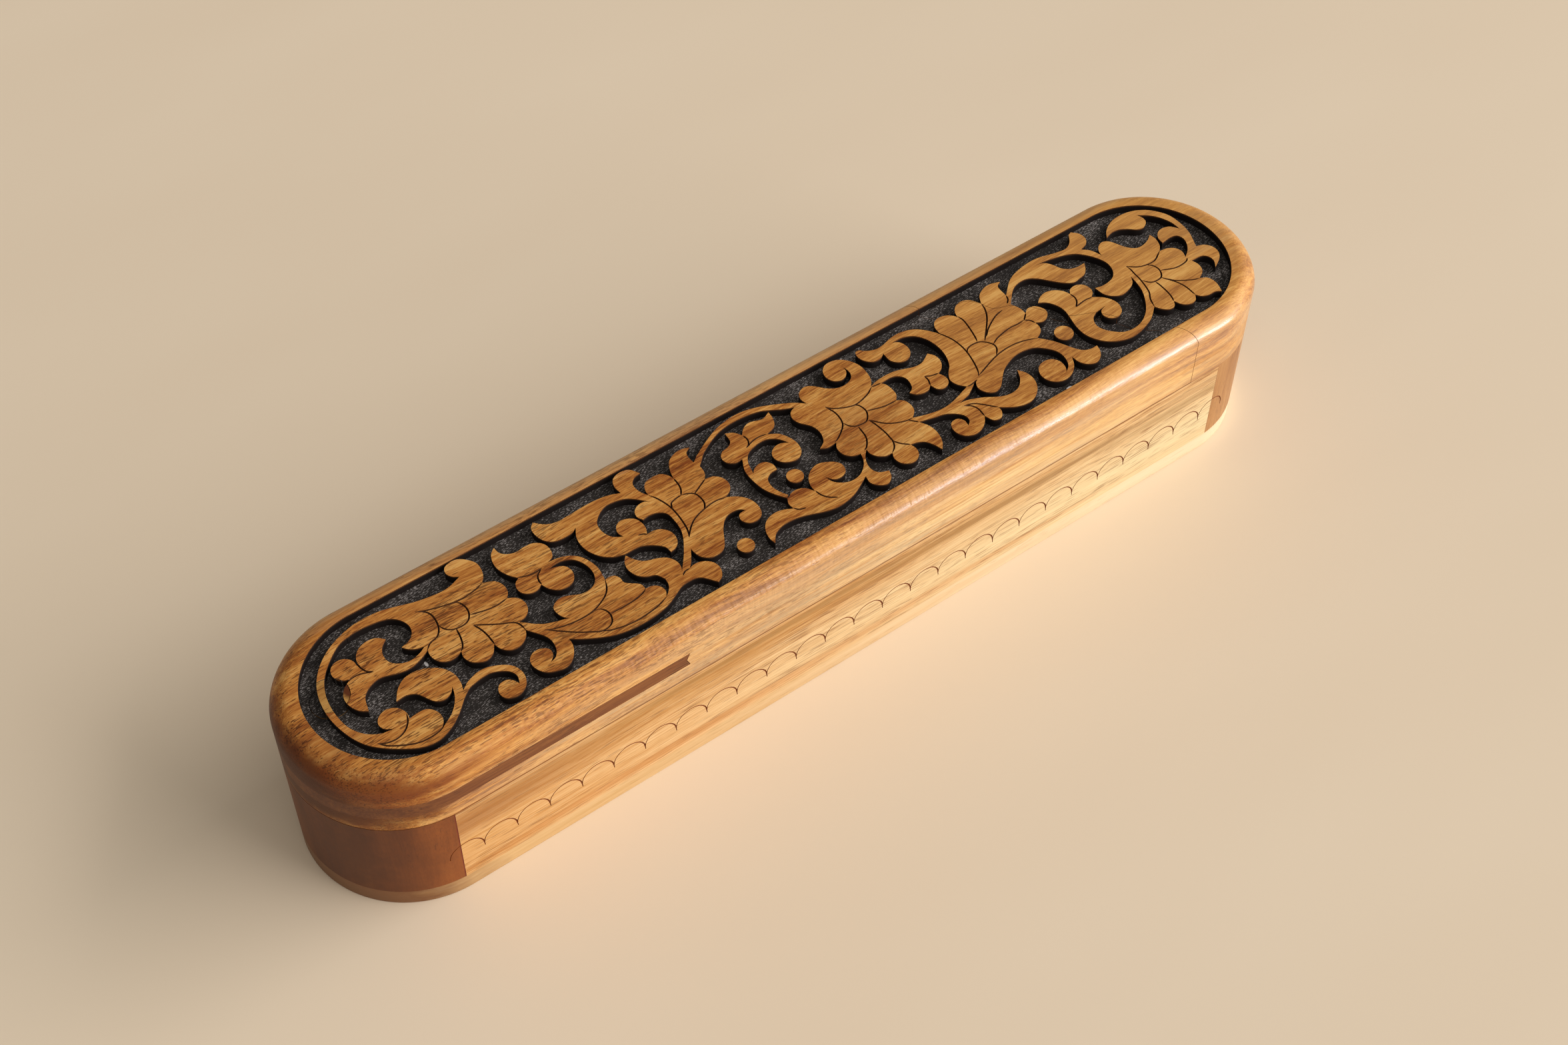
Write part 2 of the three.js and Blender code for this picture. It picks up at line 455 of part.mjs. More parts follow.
function toSolid(geometry) {
  const bare = geometry.index ? geometry.toNonIndexed() : geometry.clone();
  bare.deleteAttribute("normal");
  bare.deleteAttribute("uv");
  const merged = mergeVertices(bare, 1e-5);
  return new wasm.Manifold(new wasm.Mesh({
    numProp: 3,
    vertProperties: new Float32Array(merged.attributes.position.array),
    triVerts: new Uint32Array(merged.index.array),
  }));
}

function toGeometry(solid) {
  const mesh = solid.getMesh();
  const geometry = new THREE.BufferGeometry();
  geometry.setAttribute("position", new THREE.BufferAttribute(mesh.vertProperties, 3));
  geometry.setIndex(new THREE.BufferAttribute(mesh.triVerts, 1));
  return geometry;
}

function prism(shape, bottom, top, curveSegments = endSegments) {
  const geometry = new THREE.ExtrudeGeometry(shape, {
    depth: top - bottom,
    bevelEnabled: false,
    curveSegments,
  });
  geometry.translate(0, 0, bottom);
  return toSolid(geometry);
}

function block(x0, x1, y0, y1, z0, z1) {
  const geometry = new THREE.BoxGeometry(x1 - x0, y1 - y0, z1 - z0);
  geometry.translate((x0 + x1) / 2, (y0 + y1) / 2, (z0 + z1) / 2);
  return toSolid(geometry);
}

function pillar(x, y, radius, bottom, top) {
  const geometry = new THREE.CylinderGeometry(radius, radius, top - bottom, dowelSegments);
  geometry.rotateX(Math.PI / 2);
  geometry.translate(x, y, (bottom + top) / 2);
  return toSolid(geometry);
}

function stadium(centre, radius) {
  const shape = new THREE.Shape();
  shape.moveTo(-centre, -radius);
  shape.lineTo(centre, -radius);
  shape.absarc(centre, 0, radius, -Math.PI / 2, Math.PI / 2, false);
  shape.lineTo(-centre, radius);
  shape.absarc(-centre, 0, radius, Math.PI / 2, Math.PI * 1.5, false);
  return shape;
}

// Body pieces

function makeBasePlate() {
  return prism(stadium(endCentre, endRadius), 0, basePlateThickness);
}

function bodyOutline() {
  return prism(stadium(endCentre, endRadius), basePlateThickness, bodyTop);
}

function makeSidePanel(side) {
  const outer = side * (endRadius + beyond);
  const inner = side * (endRadius - sidePanelThickness);
  const band = block(
    -blockFace, blockFace, Math.min(outer, inner), Math.max(outer, inner),
    basePlateThickness - beyond, bodyTop + beyond,
  );
  return bodyOutline().intersect(band);
}

function makeEndBlock(side) {
  const outer = side * (boxLength / 2 + beyond);
  const inner = side * blockFace;
  const band = block(
    Math.min(outer, inner), Math.max(outer, inner), -endRadius - beyond, endRadius + beyond,
    basePlateThickness - beyond, bodyTop + beyond,
  );
  return bodyOutline().intersect(band);
}

function makePivotBlock() {
  const boreFloor = bodyTop - dowelDepthInBlock - boreFloorClearance;
  const boreRadius = dowelRadius + dowelBlockClearance;
  return makeEndBlock(-1).subtract(pillar(pivotX, pivotY, boreRadius, boreFloor, bodyTop + beyond));
}

// Lid pieces, all cut from one rounded-over and carved blank

function makeBlank(bottom) {
  const length = lidTop - bottom + lidRoundOver;
  const geometry = new THREE.ExtrudeGeometry(stadium(endCentre, endRadius), {
    depth: length - 2 * lidRoundOver,
    bevelThickness: lidRoundOver,
    bevelSize: lidRoundOver,
    bevelOffset: -lidRoundOver,
    bevelSegments: roundOverSteps,
    curveSegments: endSegments,
  });
  geometry.translate(0, 0, lidTop - length + lidRoundOver);
  const above = block(
    -boxLength, boxLength, -boxWidth, boxWidth, bottom, lidTop + beyond,
  );
  return toSolid(geometry).intersect(above);
}

function fitToPanel([x, y]) {
  const [drawnLength, drawnWidth] = drawnCorner;
  return new THREE.Vector3(x * panelHalfLength / drawnLength, y * panelRadius / drawnWidth, 0);
}

function motifOutline(rows) {
  const outline = [];
  rows.forEach((row, i) => {
    const next = rows[(i + 1) % rows.length];
    const stretch = [...row, next[0]].map(fitToPanel);
    const curve = new THREE.CatmullRomCurve3(stretch, false, "centripetal");
    const steps = row.length === 1 ? 1 : row.length * motifSteps;
    outline.push(...curve.getPoints(steps).slice(0, -1));
  });
  return new THREE.Shape(outline.map(({ x, y }) => new THREE.Vector2(x, y)));
}

function makeScroll() {
  const low = groundLevel - beyond;
  const high = lidTop + beyond;
  const leaves = Object.values(motifs).map((rows) => prism(motifOutline(rows), low, high));
  const balls = berries.map((berry) => {
    const { x, y } = fitToPanel(berry);
    return pillar(x, y, berry[2], low, high);
  });
  return [...leaves, ...balls].reduce((scroll, motif) => scroll.add(motif));
}

// The ground is the panel without the scroll, so the scroll's faces stay in the lid's own top
function makeGround() {
  const panel = prism(stadium(panelCentre, panelRadius), groundLevel, lidTop + beyond);
  return panel.subtract(makeScroll());
}

const ground = makeGround();

function carved(blank) {
  return blank.subtract(ground);
}

function seamSide(side) {
  const curve = new THREE.CatmullRomCurve3(capSeam.map(fitToPanel), false, "centripetal");
  const shift = side * capSeamGap / 2;
  const points = [];
  for (let i = 0; i <= capSeamSteps; i++) {
    const at = curve.getPoint(i / capSeamSteps);
    const along = curve.getTangent(i / capSeamSteps);
    points.push(new THREE.Vector2(at.x - along.y * shift, at.y + along.x * shift));
  }
  const edge = side * (boxLength / 2 + beyond);
  points.push(new THREE.Vector2(edge, -boxWidth));
  points.push(new THREE.Vector2(edge, boxWidth));
  return prism(new THREE.Shape(points), 0, lidTop + beyond);
}

function makeLidBoard() {
  const slot = block(-boxLength, slipEnd, -boxWidth, boxWidth, slipBottom, slipTop);
  const hole = pillar(pivotX, pivotY, dowelRadius + dowelLidClearance, 0, lidTop + beyond);
  return carved(makeBlank(lidBottom)).intersect(seamSide(-1)).subtract(slot).subtract(hole);
}

function makeEndCap() {
  return carved(makeBlank(bodyTop)).intersect(seamSide(1));
}

function makeSlipPlate() {
  const hole = pillar(pivotX, pivotY, dowelRadius + dowelLidClearance, 0, lidTop + beyond);
  const reach = block(-boxLength, slipEnd - slipEndGap, -boxWidth, boxWidth, 0, lidTop + beyond);
  return prism(stadium(endCentre, endRadius), slipBottom, slipTop).intersect(reach).subtract(hole);
}

function makePivotDowel() {
  const head = carved(makeBlank(lidBottom)).intersect(
    pillar(pivotX, pivotY, dowelRadius, lidBottom - beyond, lidTop + beyond),
  );
  return head.add(pillar(pivotX, pivotY, dowelRadius, bodyTop - dowelDepthInBlock, slipBottom));
}

const pencilBox = new THREE.Group();

function addPiece(name, solid, look) {
  const material = new THREE.MeshStandardMaterial({ ...look, metalness: 0 });
  const mesh = new THREE.Mesh(toGeometry(solid), material);
  mesh.name = name;
  pencilBox.add(mesh);
}

addPiece("base_plate", makeBasePlate(), baseWood);
addPiece("front_side_panel", makeSidePanel(-1), lightWood);
addPiece("back_side_panel", makeSidePanel(1), lightWood);
addPiece("pivot_end_block", makePivotBlock(), blockWood);
addPiece("far_end_block", makeEndBlock(1), farBlockWood);
addPiece("lid_board", makeLidBoard(), lidWood);
addPiece("lid_slip_plate", makeSlipPlate(), slipWood);
addPiece("pivot_dowel", makePivotDowel(), lidWood);
addPiece("fixed_end_cap", makeEndCap(), lidWood);

export default pencilBox;
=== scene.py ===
from contextlib import contextmanager
import json
import math
import bmesh
import bpy
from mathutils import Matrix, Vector

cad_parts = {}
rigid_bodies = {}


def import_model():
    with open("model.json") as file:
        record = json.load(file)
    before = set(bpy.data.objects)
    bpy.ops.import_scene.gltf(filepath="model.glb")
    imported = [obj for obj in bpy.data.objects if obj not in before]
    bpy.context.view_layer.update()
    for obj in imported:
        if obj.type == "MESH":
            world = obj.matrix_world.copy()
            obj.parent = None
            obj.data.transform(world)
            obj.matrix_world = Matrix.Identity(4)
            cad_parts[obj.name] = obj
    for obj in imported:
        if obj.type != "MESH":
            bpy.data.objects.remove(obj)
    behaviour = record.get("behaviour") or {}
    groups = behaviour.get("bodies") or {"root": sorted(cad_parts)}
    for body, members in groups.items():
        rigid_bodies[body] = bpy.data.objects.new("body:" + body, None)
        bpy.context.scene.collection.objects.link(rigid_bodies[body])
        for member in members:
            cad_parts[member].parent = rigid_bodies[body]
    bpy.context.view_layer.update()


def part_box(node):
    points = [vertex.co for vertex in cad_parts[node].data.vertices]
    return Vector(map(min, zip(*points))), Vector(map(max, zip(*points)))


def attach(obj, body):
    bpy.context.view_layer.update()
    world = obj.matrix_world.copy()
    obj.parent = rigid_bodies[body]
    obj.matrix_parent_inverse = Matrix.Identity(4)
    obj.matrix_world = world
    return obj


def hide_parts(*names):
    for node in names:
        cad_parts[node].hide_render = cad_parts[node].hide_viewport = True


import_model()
bpy.ops.object.select_all(action="DESELECT")
print("frame loaded")

# A carved wooden pencil box whose lid turns about a dowel near one end.
# All sizes below are in millimetres and angles in degrees; the meshes are in metres.
mm = 0.001


# Sizes read from the frame

def boxOf(node):
    low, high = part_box(node)
    return low / mm, high / mm


baseHigh = boxOf("base_plate")[1]
panelHigh = boxOf("front_side_panel")[1]
lidLow = boxOf("lid_board")[0]
capHigh = boxOf("fixed_end_cap")[1]
slipLow, slipHigh = boxOf("lid_slip_plate")
dowelLow, dowelHigh = boxOf("pivot_dowel")

box = {
    "halfLength": baseHigh.x,
    "radius": baseHigh.y,
    "baseTop": baseHigh.z,
    "bodyTop": panelHigh.z,
    "blockFace": panelHigh.x,
    "lidBottom": lidLow.z,
    "lidTop": capHigh.z,
}
endCentre = box["halfLength"] - box["radius"]
beyond = 5  # how far a cutting tool runs past what it cuts
near = 0.01  # places closer than this count as the same
weldDistance = 0.001
smoothAngle = 32


# Small helpers

def toLinear(hexColour):
    channels = [int(hexColour[i:i + 2], 16) / 255 for i in (0, 2, 4)]
    linear = [c / 12.92 if c <= 0.04045 else ((c + 0.055) / 1.055) ** 2.4 for c in channels]
    return (*linear, 1)


def addNode(tree, kind, settings=None, links=None):
    # a link comes from a socket, or from a node by its first output
    node = tree.nodes.new("ShaderNode" + kind)
    for name, value in (settings or {}).items():
        if isinstance(name, int) or name in node.inputs:
            node.inputs[name].default_value = value
        else:
            setattr(node, name, value)
    for name, source in (links or {}).items():
        if isinstance(source, bpy.types.Node):
            source = source.outputs[0]
        tree.links.new(source, node.inputs[name])
    return node


def only(piece):
    bpy.ops.object.select_all(action="DESELECT")
    piece.select_set(True)
    bpy.context.view_layer.objects.active = piece


@contextmanager
def editing(piece):
    only(piece)
    bpy.ops.object.mode_set(mode="EDIT")
    bpy.ops.mesh.select_all(action="SELECT")
    yield
    bpy.ops.object.mode_set(mode="OBJECT")


def pick(piece, kind, test):
    # selects the vertices, or the edges, whose ends all pass the test
    mesh = bmesh.from_edit_mesh(piece.data)
    bpy.ops.mesh.select_mode(type=kind)
    for part in mesh.verts if kind == "VERT" else mesh.edges:
        ends = [part] if kind == "VERT" else part.verts
        part.select = all(test(end.co / mm) for end in ends)
    mesh.select_flush_mode()
    bmesh.update_edit_mesh(piece.data)


def settle(piece):
    only(piece)
    bpy.ops.object.transform_apply(location=True, rotation=True, scale=True)
    return piece


def newest(name):
    piece = bpy.context.object
    piece.name = piece.data.name = name
    return piece


def addObject(name, data):
    piece = bpy.data.objects.new(name, data)
    bpy.context.scene.collection.objects.link(piece)
    return piece


def combine(piece, operation, tool):
    # a boolean with one tool or with a collection of tools
    only(piece)
    cut = piece.modifiers.new("cut", "BOOLEAN")
    cut.operation = operation
    cut.solver = "MANIFOLD"
    if isinstance(tool, bpy.types.Collection):
        cut.operand_type = "COLLECTION"
        cut.collection = tool
    else:
        cut.object = tool
    bpy.ops.object.modifier_apply(modifier=cut.name)


def gather(name, pieces):
    tools = bpy.data.collections.new(name)
    bpy.context.scene.collection.children.link(tools)
    for piece in pieces:
        for old in piece.users_collection:
            old.objects.unlink(piece)
        tools.objects.link(piece)
    return tools


def drop(*tools):
    for tool in tools:
        if isinstance(tool, bpy.types.Collection):
            drop(*tool.objects)
            bpy.data.collections.remove(tool)
        else:
            bpy.data.objects.remove(tool)


def through(points, step):
    # centripetal spline through the points, sampled about every step
    points = [Vector(p) for p in points]
    row = [2 * points[0] - points[1], *points, 2 * points[-1] - points[-2]]
    samples = []
    for p0, p1, p2, p3 in zip(row, row[1:], row[2:], row[3:]):
        t1 = (p1 - p0).length ** 0.5
        t2 = t1 + (p2 - p1).length ** 0.5
        t3 = t2 + (p3 - p2).length ** 0.5
        count = max(1, round((p2 - p1).length / step))
        for i in range(count):
            t = t1 + (t2 - t1) * i / count
            a1 = p0.lerp(p1, t / t1)
            a2 = p1.lerp(p2, (t - t1) / (t2 - t1))
            a3 = p2.lerp(p3, (t - t2) / (t3 - t2))
            b1 = a1.lerp(a2, t / t2)
            b2 = a2.lerp(a3, (t - t1) / (t3 - t1))
            samples.append(b1.lerp(b2, (t - t1) / (t2 - t1)))
    samples.append(points[-1])
    return samples


# Making of the wooden pieces

def rod(name, x, y, radius, bottom, top, sides=64, turn=0):
    bpy.ops.object.select_all(action="DESELECT")
    bpy.ops.mesh.primitive_cylinder_add(
        vertices=sides, radius=radius * mm, depth=(top - bottom) * mm,
        location=(x * mm, y * mm, (bottom + top) / 2 * mm), rotation=(0, 0, turn),
    )
    return settle(newest(name))


def roundEndedBoard(name, bottom, top, radius, centre, sides=144):
    # a cylinder pulled apart at its middle into a board with two round ends
    board = rod(name, 0, 0, radius, bottom, top, sides, math.pi / sides)
    with editing(board):
        for side in (-1, 1):
            pick(board, "VERT", lambda p: p.x * side > 0)
            bpy.ops.transform.translate(value=(side * centre * mm, 0, 0))
    return board


def roundRim(board, level, width, steps):
    with editing(board):
        pick(board, "EDGE", lambda p: abs(p.z - level) < near)
        bpy.ops.mesh.bevel(offset=width * mm, segments=steps, profile=0.5, affect="EDGES")


def keepBeyond(board, x, side):
    # keeps the part of the board that lies beyond x, in the direction of side
    with editing(board):
        bpy.ops.mesh.bisect(
            plane_co=(x * mm, 0, 0), plane_no=(-side, 0, 0), use_fill=True, clear_outer=True,
        )


def bar(name, low, high):
    bpy.ops.object.select_all(action="DESELECT")
    bpy.ops.mesh.primitive_cube_add(size=1)
    piece = newest(name)
    piece.scale = [(b - a) * mm for a, b in zip(low, high)]
    piece.location = [(a + b) / 2 * mm for a, b in zip(low, high)]
    return settle(piece)


def slab(name, outline, bottom, top):
    # a flat outline pulled up into a slab
    mesh = bpy.data.meshes.new(name)
    mesh.from_pydata([(x * mm, y * mm, bottom * mm) for x, y in outline], [], [range(len(outline))])
    piece = addObject(name, mesh)
    with editing(piece):
        bpy.ops.mesh.extrude_region_move(TRANSFORM_OT_translate={"value": (0, 0, (top - bottom) * mm)})
        bpy.ops.mesh.select_all(action="SELECT")
        bpy.ops.mesh.normals_make_consistent(inside=False)
    return piece


def graver(name, path, width, taper):
    # a round-bottomed cut along a path; taper gives its share of the width at each place
    curve = bpy.data.curves.new(name, "CURVE")
    curve.dimensions = "3D"
    curve.bevel_depth = width / 2 * mm
    curve.bevel_resolution = 2
    curve.use_fill_caps = True
    line = curve.splines.new("POLY")
    line.points.add(len(path) - 1)
    for i, spot in enumerate(path):
        line.points[i].co = (*(Vector(spot) * mm), 1)
        line.points[i].radius = taper(i / (len(path) - 1))
    only(addObject(name, curve))
    bpy.ops.object.convert(target="MESH")
    piece = bpy.context.object
    with editing(piece):
        bpy.ops.mesh.remove_doubles(threshold=weldDistance * mm)
        bpy.ops.mesh.normals_make_consistent(inside=False)
    return piece


def paint(piece, finishes, slot=0):
    # every piece and tool carries the same slots, so cut faces keep the finish of the tool
    piece.data.materials.clear()
    for finish in finishes:
        piece.data.materials.append(finish)
    for face in piece.data.polygons:
        face.material_index = slot


def finishPiece(piece, body, node):
    only(piece)
    bpy.ops.object.shade_smooth_by_angle(angle=math.radians(smoothAngle))
    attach(piece, body)
    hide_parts(node)


# Materials

def startMaterial(name):
    material = bpy.data.materials.new(name)
    material.use_nodes = True
    material.node_tree.nodes.clear()
    return material, material.node_tree


def endMaterial(tree, settings, links):
    shader = addNode(tree, "BsdfPrincipled", settings, links)
    addNode(tree, "OutputMaterial", links={"Surface": shader})


def grain(tree, spot, size, detail, shift=0):
    # cloudy pattern whose patches are about size millimetres long along x, y and z
    stretch = addNode(
        tree, "Mapping", {"Location": [shift] * 3, "Scale": [1 / (length * mm) for length in size]},
        {"Vector": spot},
    )
    return addNode(
        tree, "TexNoise", {"Scale": 1, "Detail": detail, "Roughness": 0.55}, {"Vector": stretch},
    )


def patch(middle, reach, colour=None, share=1, soft=0.5, ragged=0.5, rag=(30, 2, 2)):
    # a round patch with a soft and ragged edge; rag is the size of the rags along x, y and z
    return {
        "middle": middle, "reach": reach, "colour": colour, "share": share,
        "soft": soft, "ragged": ragged, "rag": rag,
    }


ragShift = 31


def patchMask(tree, spot, area):
    # 0 outside the patch, rising to its share inside
    local = addNode(tree, "Mapping", {
        "vector_type": "TEXTURE",
        "Location": [c * mm for c in area["middle"]], "Scale": [r * mm for r in area["reach"]],
    }, {"Vector": spot})
    away = addNode(tree, "VectorMath", {"operation": "LENGTH"}, {0: local}).outputs["Value"]
    away = addNode(
        tree, "Math", {"operation": "MULTIPLY_ADD", 1: area["ragged"]},
        {0: grain(tree, spot, area["rag"], 2, ragShift), 2: away},
    )
    edge = 1 + area["ragged"] / 2
    return addNode(
        tree, "MapRange", {"From Min": edge, "From Max": edge - area["soft"], "To Max": area["share"]},
        {"Value": away},
    )


def patchOver(tree, spot, area, under):
    mask = patchMask(tree, spot, area)
    return addNode(
        tree, "MixRGB", {"Color2": toLinear(area["colour"])}, {"Fac": mask, "Color1": under},
    )


# what each layer of the grain adds: its detail, and a shift so that no two layers are alike
layers = {"band": (2, 0), "line": (3, 7), "pore": (1, 13), "fibre": (2, 3), "crowd": (1, 17)}
figureShift = 21


def wanderedPlace(tree, fixed, look):
    # the grain runs along x, or along z in an upright block, and wanders a little
    spot = fixed
    if look["along"] == "z":
        spot = addNode(tree, "Mapping", {"Rotation": (0, math.radians(90), 0)}, {"Vector": fixed})
    wander = addNode(
        tree, "TexNoise", {"Scale": 1 / (look["wanderLength"] * mm), "Detail": 1, "Roughness": 0.4},
        {"Vector": spot},
    ).outputs["Color"]
    swing = look["wander"] * mm
    offset = addNode(
        tree, "VectorMath", {"operation": "MULTIPLY_ADD", 1: [2 * swing] * 3, 2: [-swing] * 3}, {0: wander},
    )
    return addNode(tree, "VectorMath", {"operation": "ADD"}, {0: spot, 1: offset})


def woodTone(tree, fixed, layer, look):
    # bands and lines, roughened by the fibres, then the patches over them
    bands = addNode(
        tree, "Mix", {"data_type": "FLOAT", 0: look["lineShare"]}, {2: layer["band"], 3: layer["line"]},
    )
    fibres = addNode(
        tree, "MapRange", {"To Min": -look["fibreShare"], "To Max": look["fibreShare"]},
        {"Value": layer["fibre"]},
    )
    blended = addNode(tree, "Math", {"operation": "ADD"}, {0: bands, 1: fibres})
    colour = addNode(tree, "ValToRGB", links={"Fac": blended})
    stops = colour.color_ramp.elements
    while len(stops) < len(look["tones"]):
        stops.new(0.5)
    for stop, (position, hexColour) in zip(stops, look["tones"]):
        stop.position = position
        stop.color = toLinear(hexColour)
    for area in look["patches"]:
        colour = patchOver(tree, fixed, area, colour)
    return colour


def woodPores(tree, fixed, layer, look):
    # short dark pores that gather in crowds, perhaps in one region only
    crowded = addNode(
        tree, "Math", {"operation": "MULTIPLY_ADD", 1: look["crowding"]},
        {0: layer["crowd"], 2: layer["pore"]},
    )
    pores = addNode(tree, "MapRange", {
        "From Min": look["poreFrom"], "From Max": look["poreFrom"] + look["poreEdge"],
        "To Max": look["poreShare"],
    }, {"Value": crowded})
    if "poreRegion" in look:
        region = patchMask(tree, fixed, look["poreRegion"])
        pores = addNode(tree, "Math", {"operation": "MULTIPLY"}, {0: pores, 1: region})
    return pores


def woodRelief(tree, fixed, spot, layer, pores, look):
    # lines stand up, pores sink in, and a silky cross figure ripples where the look has one
    relief = addNode(tree, "Math", {"operation": "MULTIPLY_ADD", 1: -1}, {0: pores, 2: layer["line"]})
    for figure in look["figures"]:
        ripple = grain(tree, spot, figure["size"], 1, look["shift"] + figureShift)
        relief = addNode(
            tree, "Math", {"operation": "MULTIPLY_ADD"},
            {0: ripple, 1: patchMask(tree, fixed, figure), 2: relief},
        )
    return relief


def makeWood(name, look):
    # sawn and sanded wood under satin varnish
    material, tree = startMaterial(name)
    fixed = addNode(tree, "TexCoord").outputs["Object"]
    spot = wanderedPlace(tree, fixed, look)
    layer = {
        kind: grain(tree, spot, look[kind + "Size"], detail, look["shift"] + shift)
        for kind, (detail, shift) in layers.items()
    }
    pores = woodPores(tree, fixed, layer, look)
    colour = addNode(
        tree, "MixRGB", {"Color2": toLinear(look["poreColour"])},
        {"Fac": pores, "Color1": woodTone(tree, fixed, layer, look)},
    )
    relief = woodRelief(tree, fixed, spot, layer, pores, look)
    bump = addNode(
        tree, "Bump", {"Strength": look["bump"], "Distance": look["bumpDepth"] * mm}, {"Height": relief},
    )
    links = {"Base Color": colour, "Normal": bump, "Coat Normal": bump}
    if "gloss" in look:
        links["Coat Weight"] = patchMask(tree, fixed, look["gloss"])
    endMaterial(tree, {
        "Roughness": look["roughness"], "IOR": 1.5, "Specular IOR Level": 0.25,
        "Coat Weight": look["varnish"], "Coat Roughness": look["varnishRoughness"], "Coat IOR": 2.1,
    }, links)
    return material


# what the woods have in common unless their own looks say otherwise
plainWood = {
    "along": "x", "shift": 0, "wander": 2, "wanderLength": 30,
    "fibreSize": (2, 0.15, 0.15), "fibreShare": 0.15, "crowding": 0.45, "poreEdge": 0.07,
    "roughness": 0.45, "varnish": 0.25, "varnishRoughness": 0.3, "bump": 0.2, "bumpDepth": 0.1,
    "patches": [], "figures": [],
}
thinVarnish = {"roughness": 0.5, "varnish": 0.1, "varnishRoughness": 0.35}

# lid and cap: honey-brown acacia, darker and browner round the pivot end, partly painted shade, paler on
# the front face, partly painted light
lidLook = {
    **plainWood,
    "tones": [(0.35, "803F13"), (0.45, "B06D2B"), (0.54, "CC8B3F"), (0.65, "E6AE5E")],
    "bandSize": (42, 3, 3), "lineSize": (17, 0.5, 0.5), "lineShare": 0.4,
    "fibreSize": (2.4, 0.13, 0.13), "fibreShare": 0.22,
    "poreSize": (2.6, 0.3, 0.3), "poreFrom": 0.8, "poreShare": 0.85, "poreColour": "552B0F",
    "crowdSize": (24, 5, 5), "wander": 2.5, "wanderLength": 45,
    "varnish": 0.5, "varnishRoughness": 0.25, "bump": 0.35,
    "poreRegion": patch((-120, 0, 40), (210, 60, 40), soft=0.9, ragged=0.1),
    "patches": [
        # on top: a dark spot in the middle flower, a paler far end, a browner near end, a pale back rim
        patch((15, -2, 42), (14, 12, 3), "96521F", 0.45, soft=0.9),
        patch((120, 10, 43), (110, 50, 7), "E0A85A", 0.45, soft=0.9, ragged=0.7),
        patch((-130, 0, 43), (110, 50, 7), "B87232", 0.3, soft=0.9, ragged=0.7),
        patch((0, 22, 42), (150, 6, 5), "E8B678", 0.8, soft=0.9, ragged=0.8, rag=(30, 1, 1)),
        # in front: a paler face, partly the wood and partly painted light where it faces the lamps, with
        # brown streaks, and the round-over
        patch((15, -30, 29), (165, 13, 12.5), "E8D2A0", 0.9, soft=0.75),
        patch((5, -33, 33), (150, 10, 14), "B67C3A", 0.6, soft=0.35, ragged=2.4, rag=(24, 0.4, 0.4)),
        # tan round the far end: painted shade where the end turns from the light, over the darker grain of
        # the end
        patch((123, -6, 31), (36, 36, 12.5), "B89062", 0.85),
        # a paler streaky band along the round-over: painted sheen where the highlight lies
        patch((40, -26, 40), (165, 9, 5), "D8AE70", 0.5, soft=0.7, ragged=0.8, rag=(30, 1, 1)),
        # round the pivot end: browner wood, darkened further by painted shade where that end turns away
        # from the light
        patch((-125, -5, 33.5), (34, 40, 9.2), "86461C", 0.85, soft=0.4, rag=(9, 5, 2)),
        patch((-122, -12, 38.5), (38, 34, 4), "7E4019", 0.85, soft=0.4, rag=(9, 5, 2)),
        # a paler band along the front face towards the pivot end
        patch((-50, -26, 35.5), (62, 8, 4.5), "D8AC70", 0.5, soft=0.8),
        # painted shade again, darkest at the end itself and low on its side
        patch((-128, 0, 33.5), (22, 32, 9.8), "4E240C", 0.9, soft=0.4, rag=(9, 5, 2)),
        patch((-120, -8, 30.2), (30, 30, 5), "5E3214", 0.75, soft=0.6, rag=(9, 5, 2)),
        # stain along the joint under the lid
        patch((0, 0, 26.5), (900, 900, 0.22), "7A4018", 0.4, ragged=0.2),
    ],
    "figures": [{"size": (1.1, 4, 4), **patch((-5, -22, 39.5), (100, 8, 6), share=4.5)}],
    "gloss": patch((85, -25, 36.8), (190, 60, 4), soft=0.45, ragged=0.1),
}
varnishedAcacia = makeWood("varnishedAcacia", lidLook)

# dowel: the same wood, paler, with a brown stain at its near edge
dowelLook = {
    **lidLook,
    "tones": [(0.28, "8A5624"), (0.42, "A87434"), (0.54, "B98844"), (0.7, "C89A56")],
    "poreSize": (5, 0.2, 0.2), "poreFrom": 0.82, "figures": [], "shift": 2,
    "patches": [patch((-104.2, 3.5, 42), (1.7, 4, 3), "5E2F12", ragged=0.1)],
}
varnishedPaleAcacia = makeWood("varnishedPaleAcacia", dowelLook)

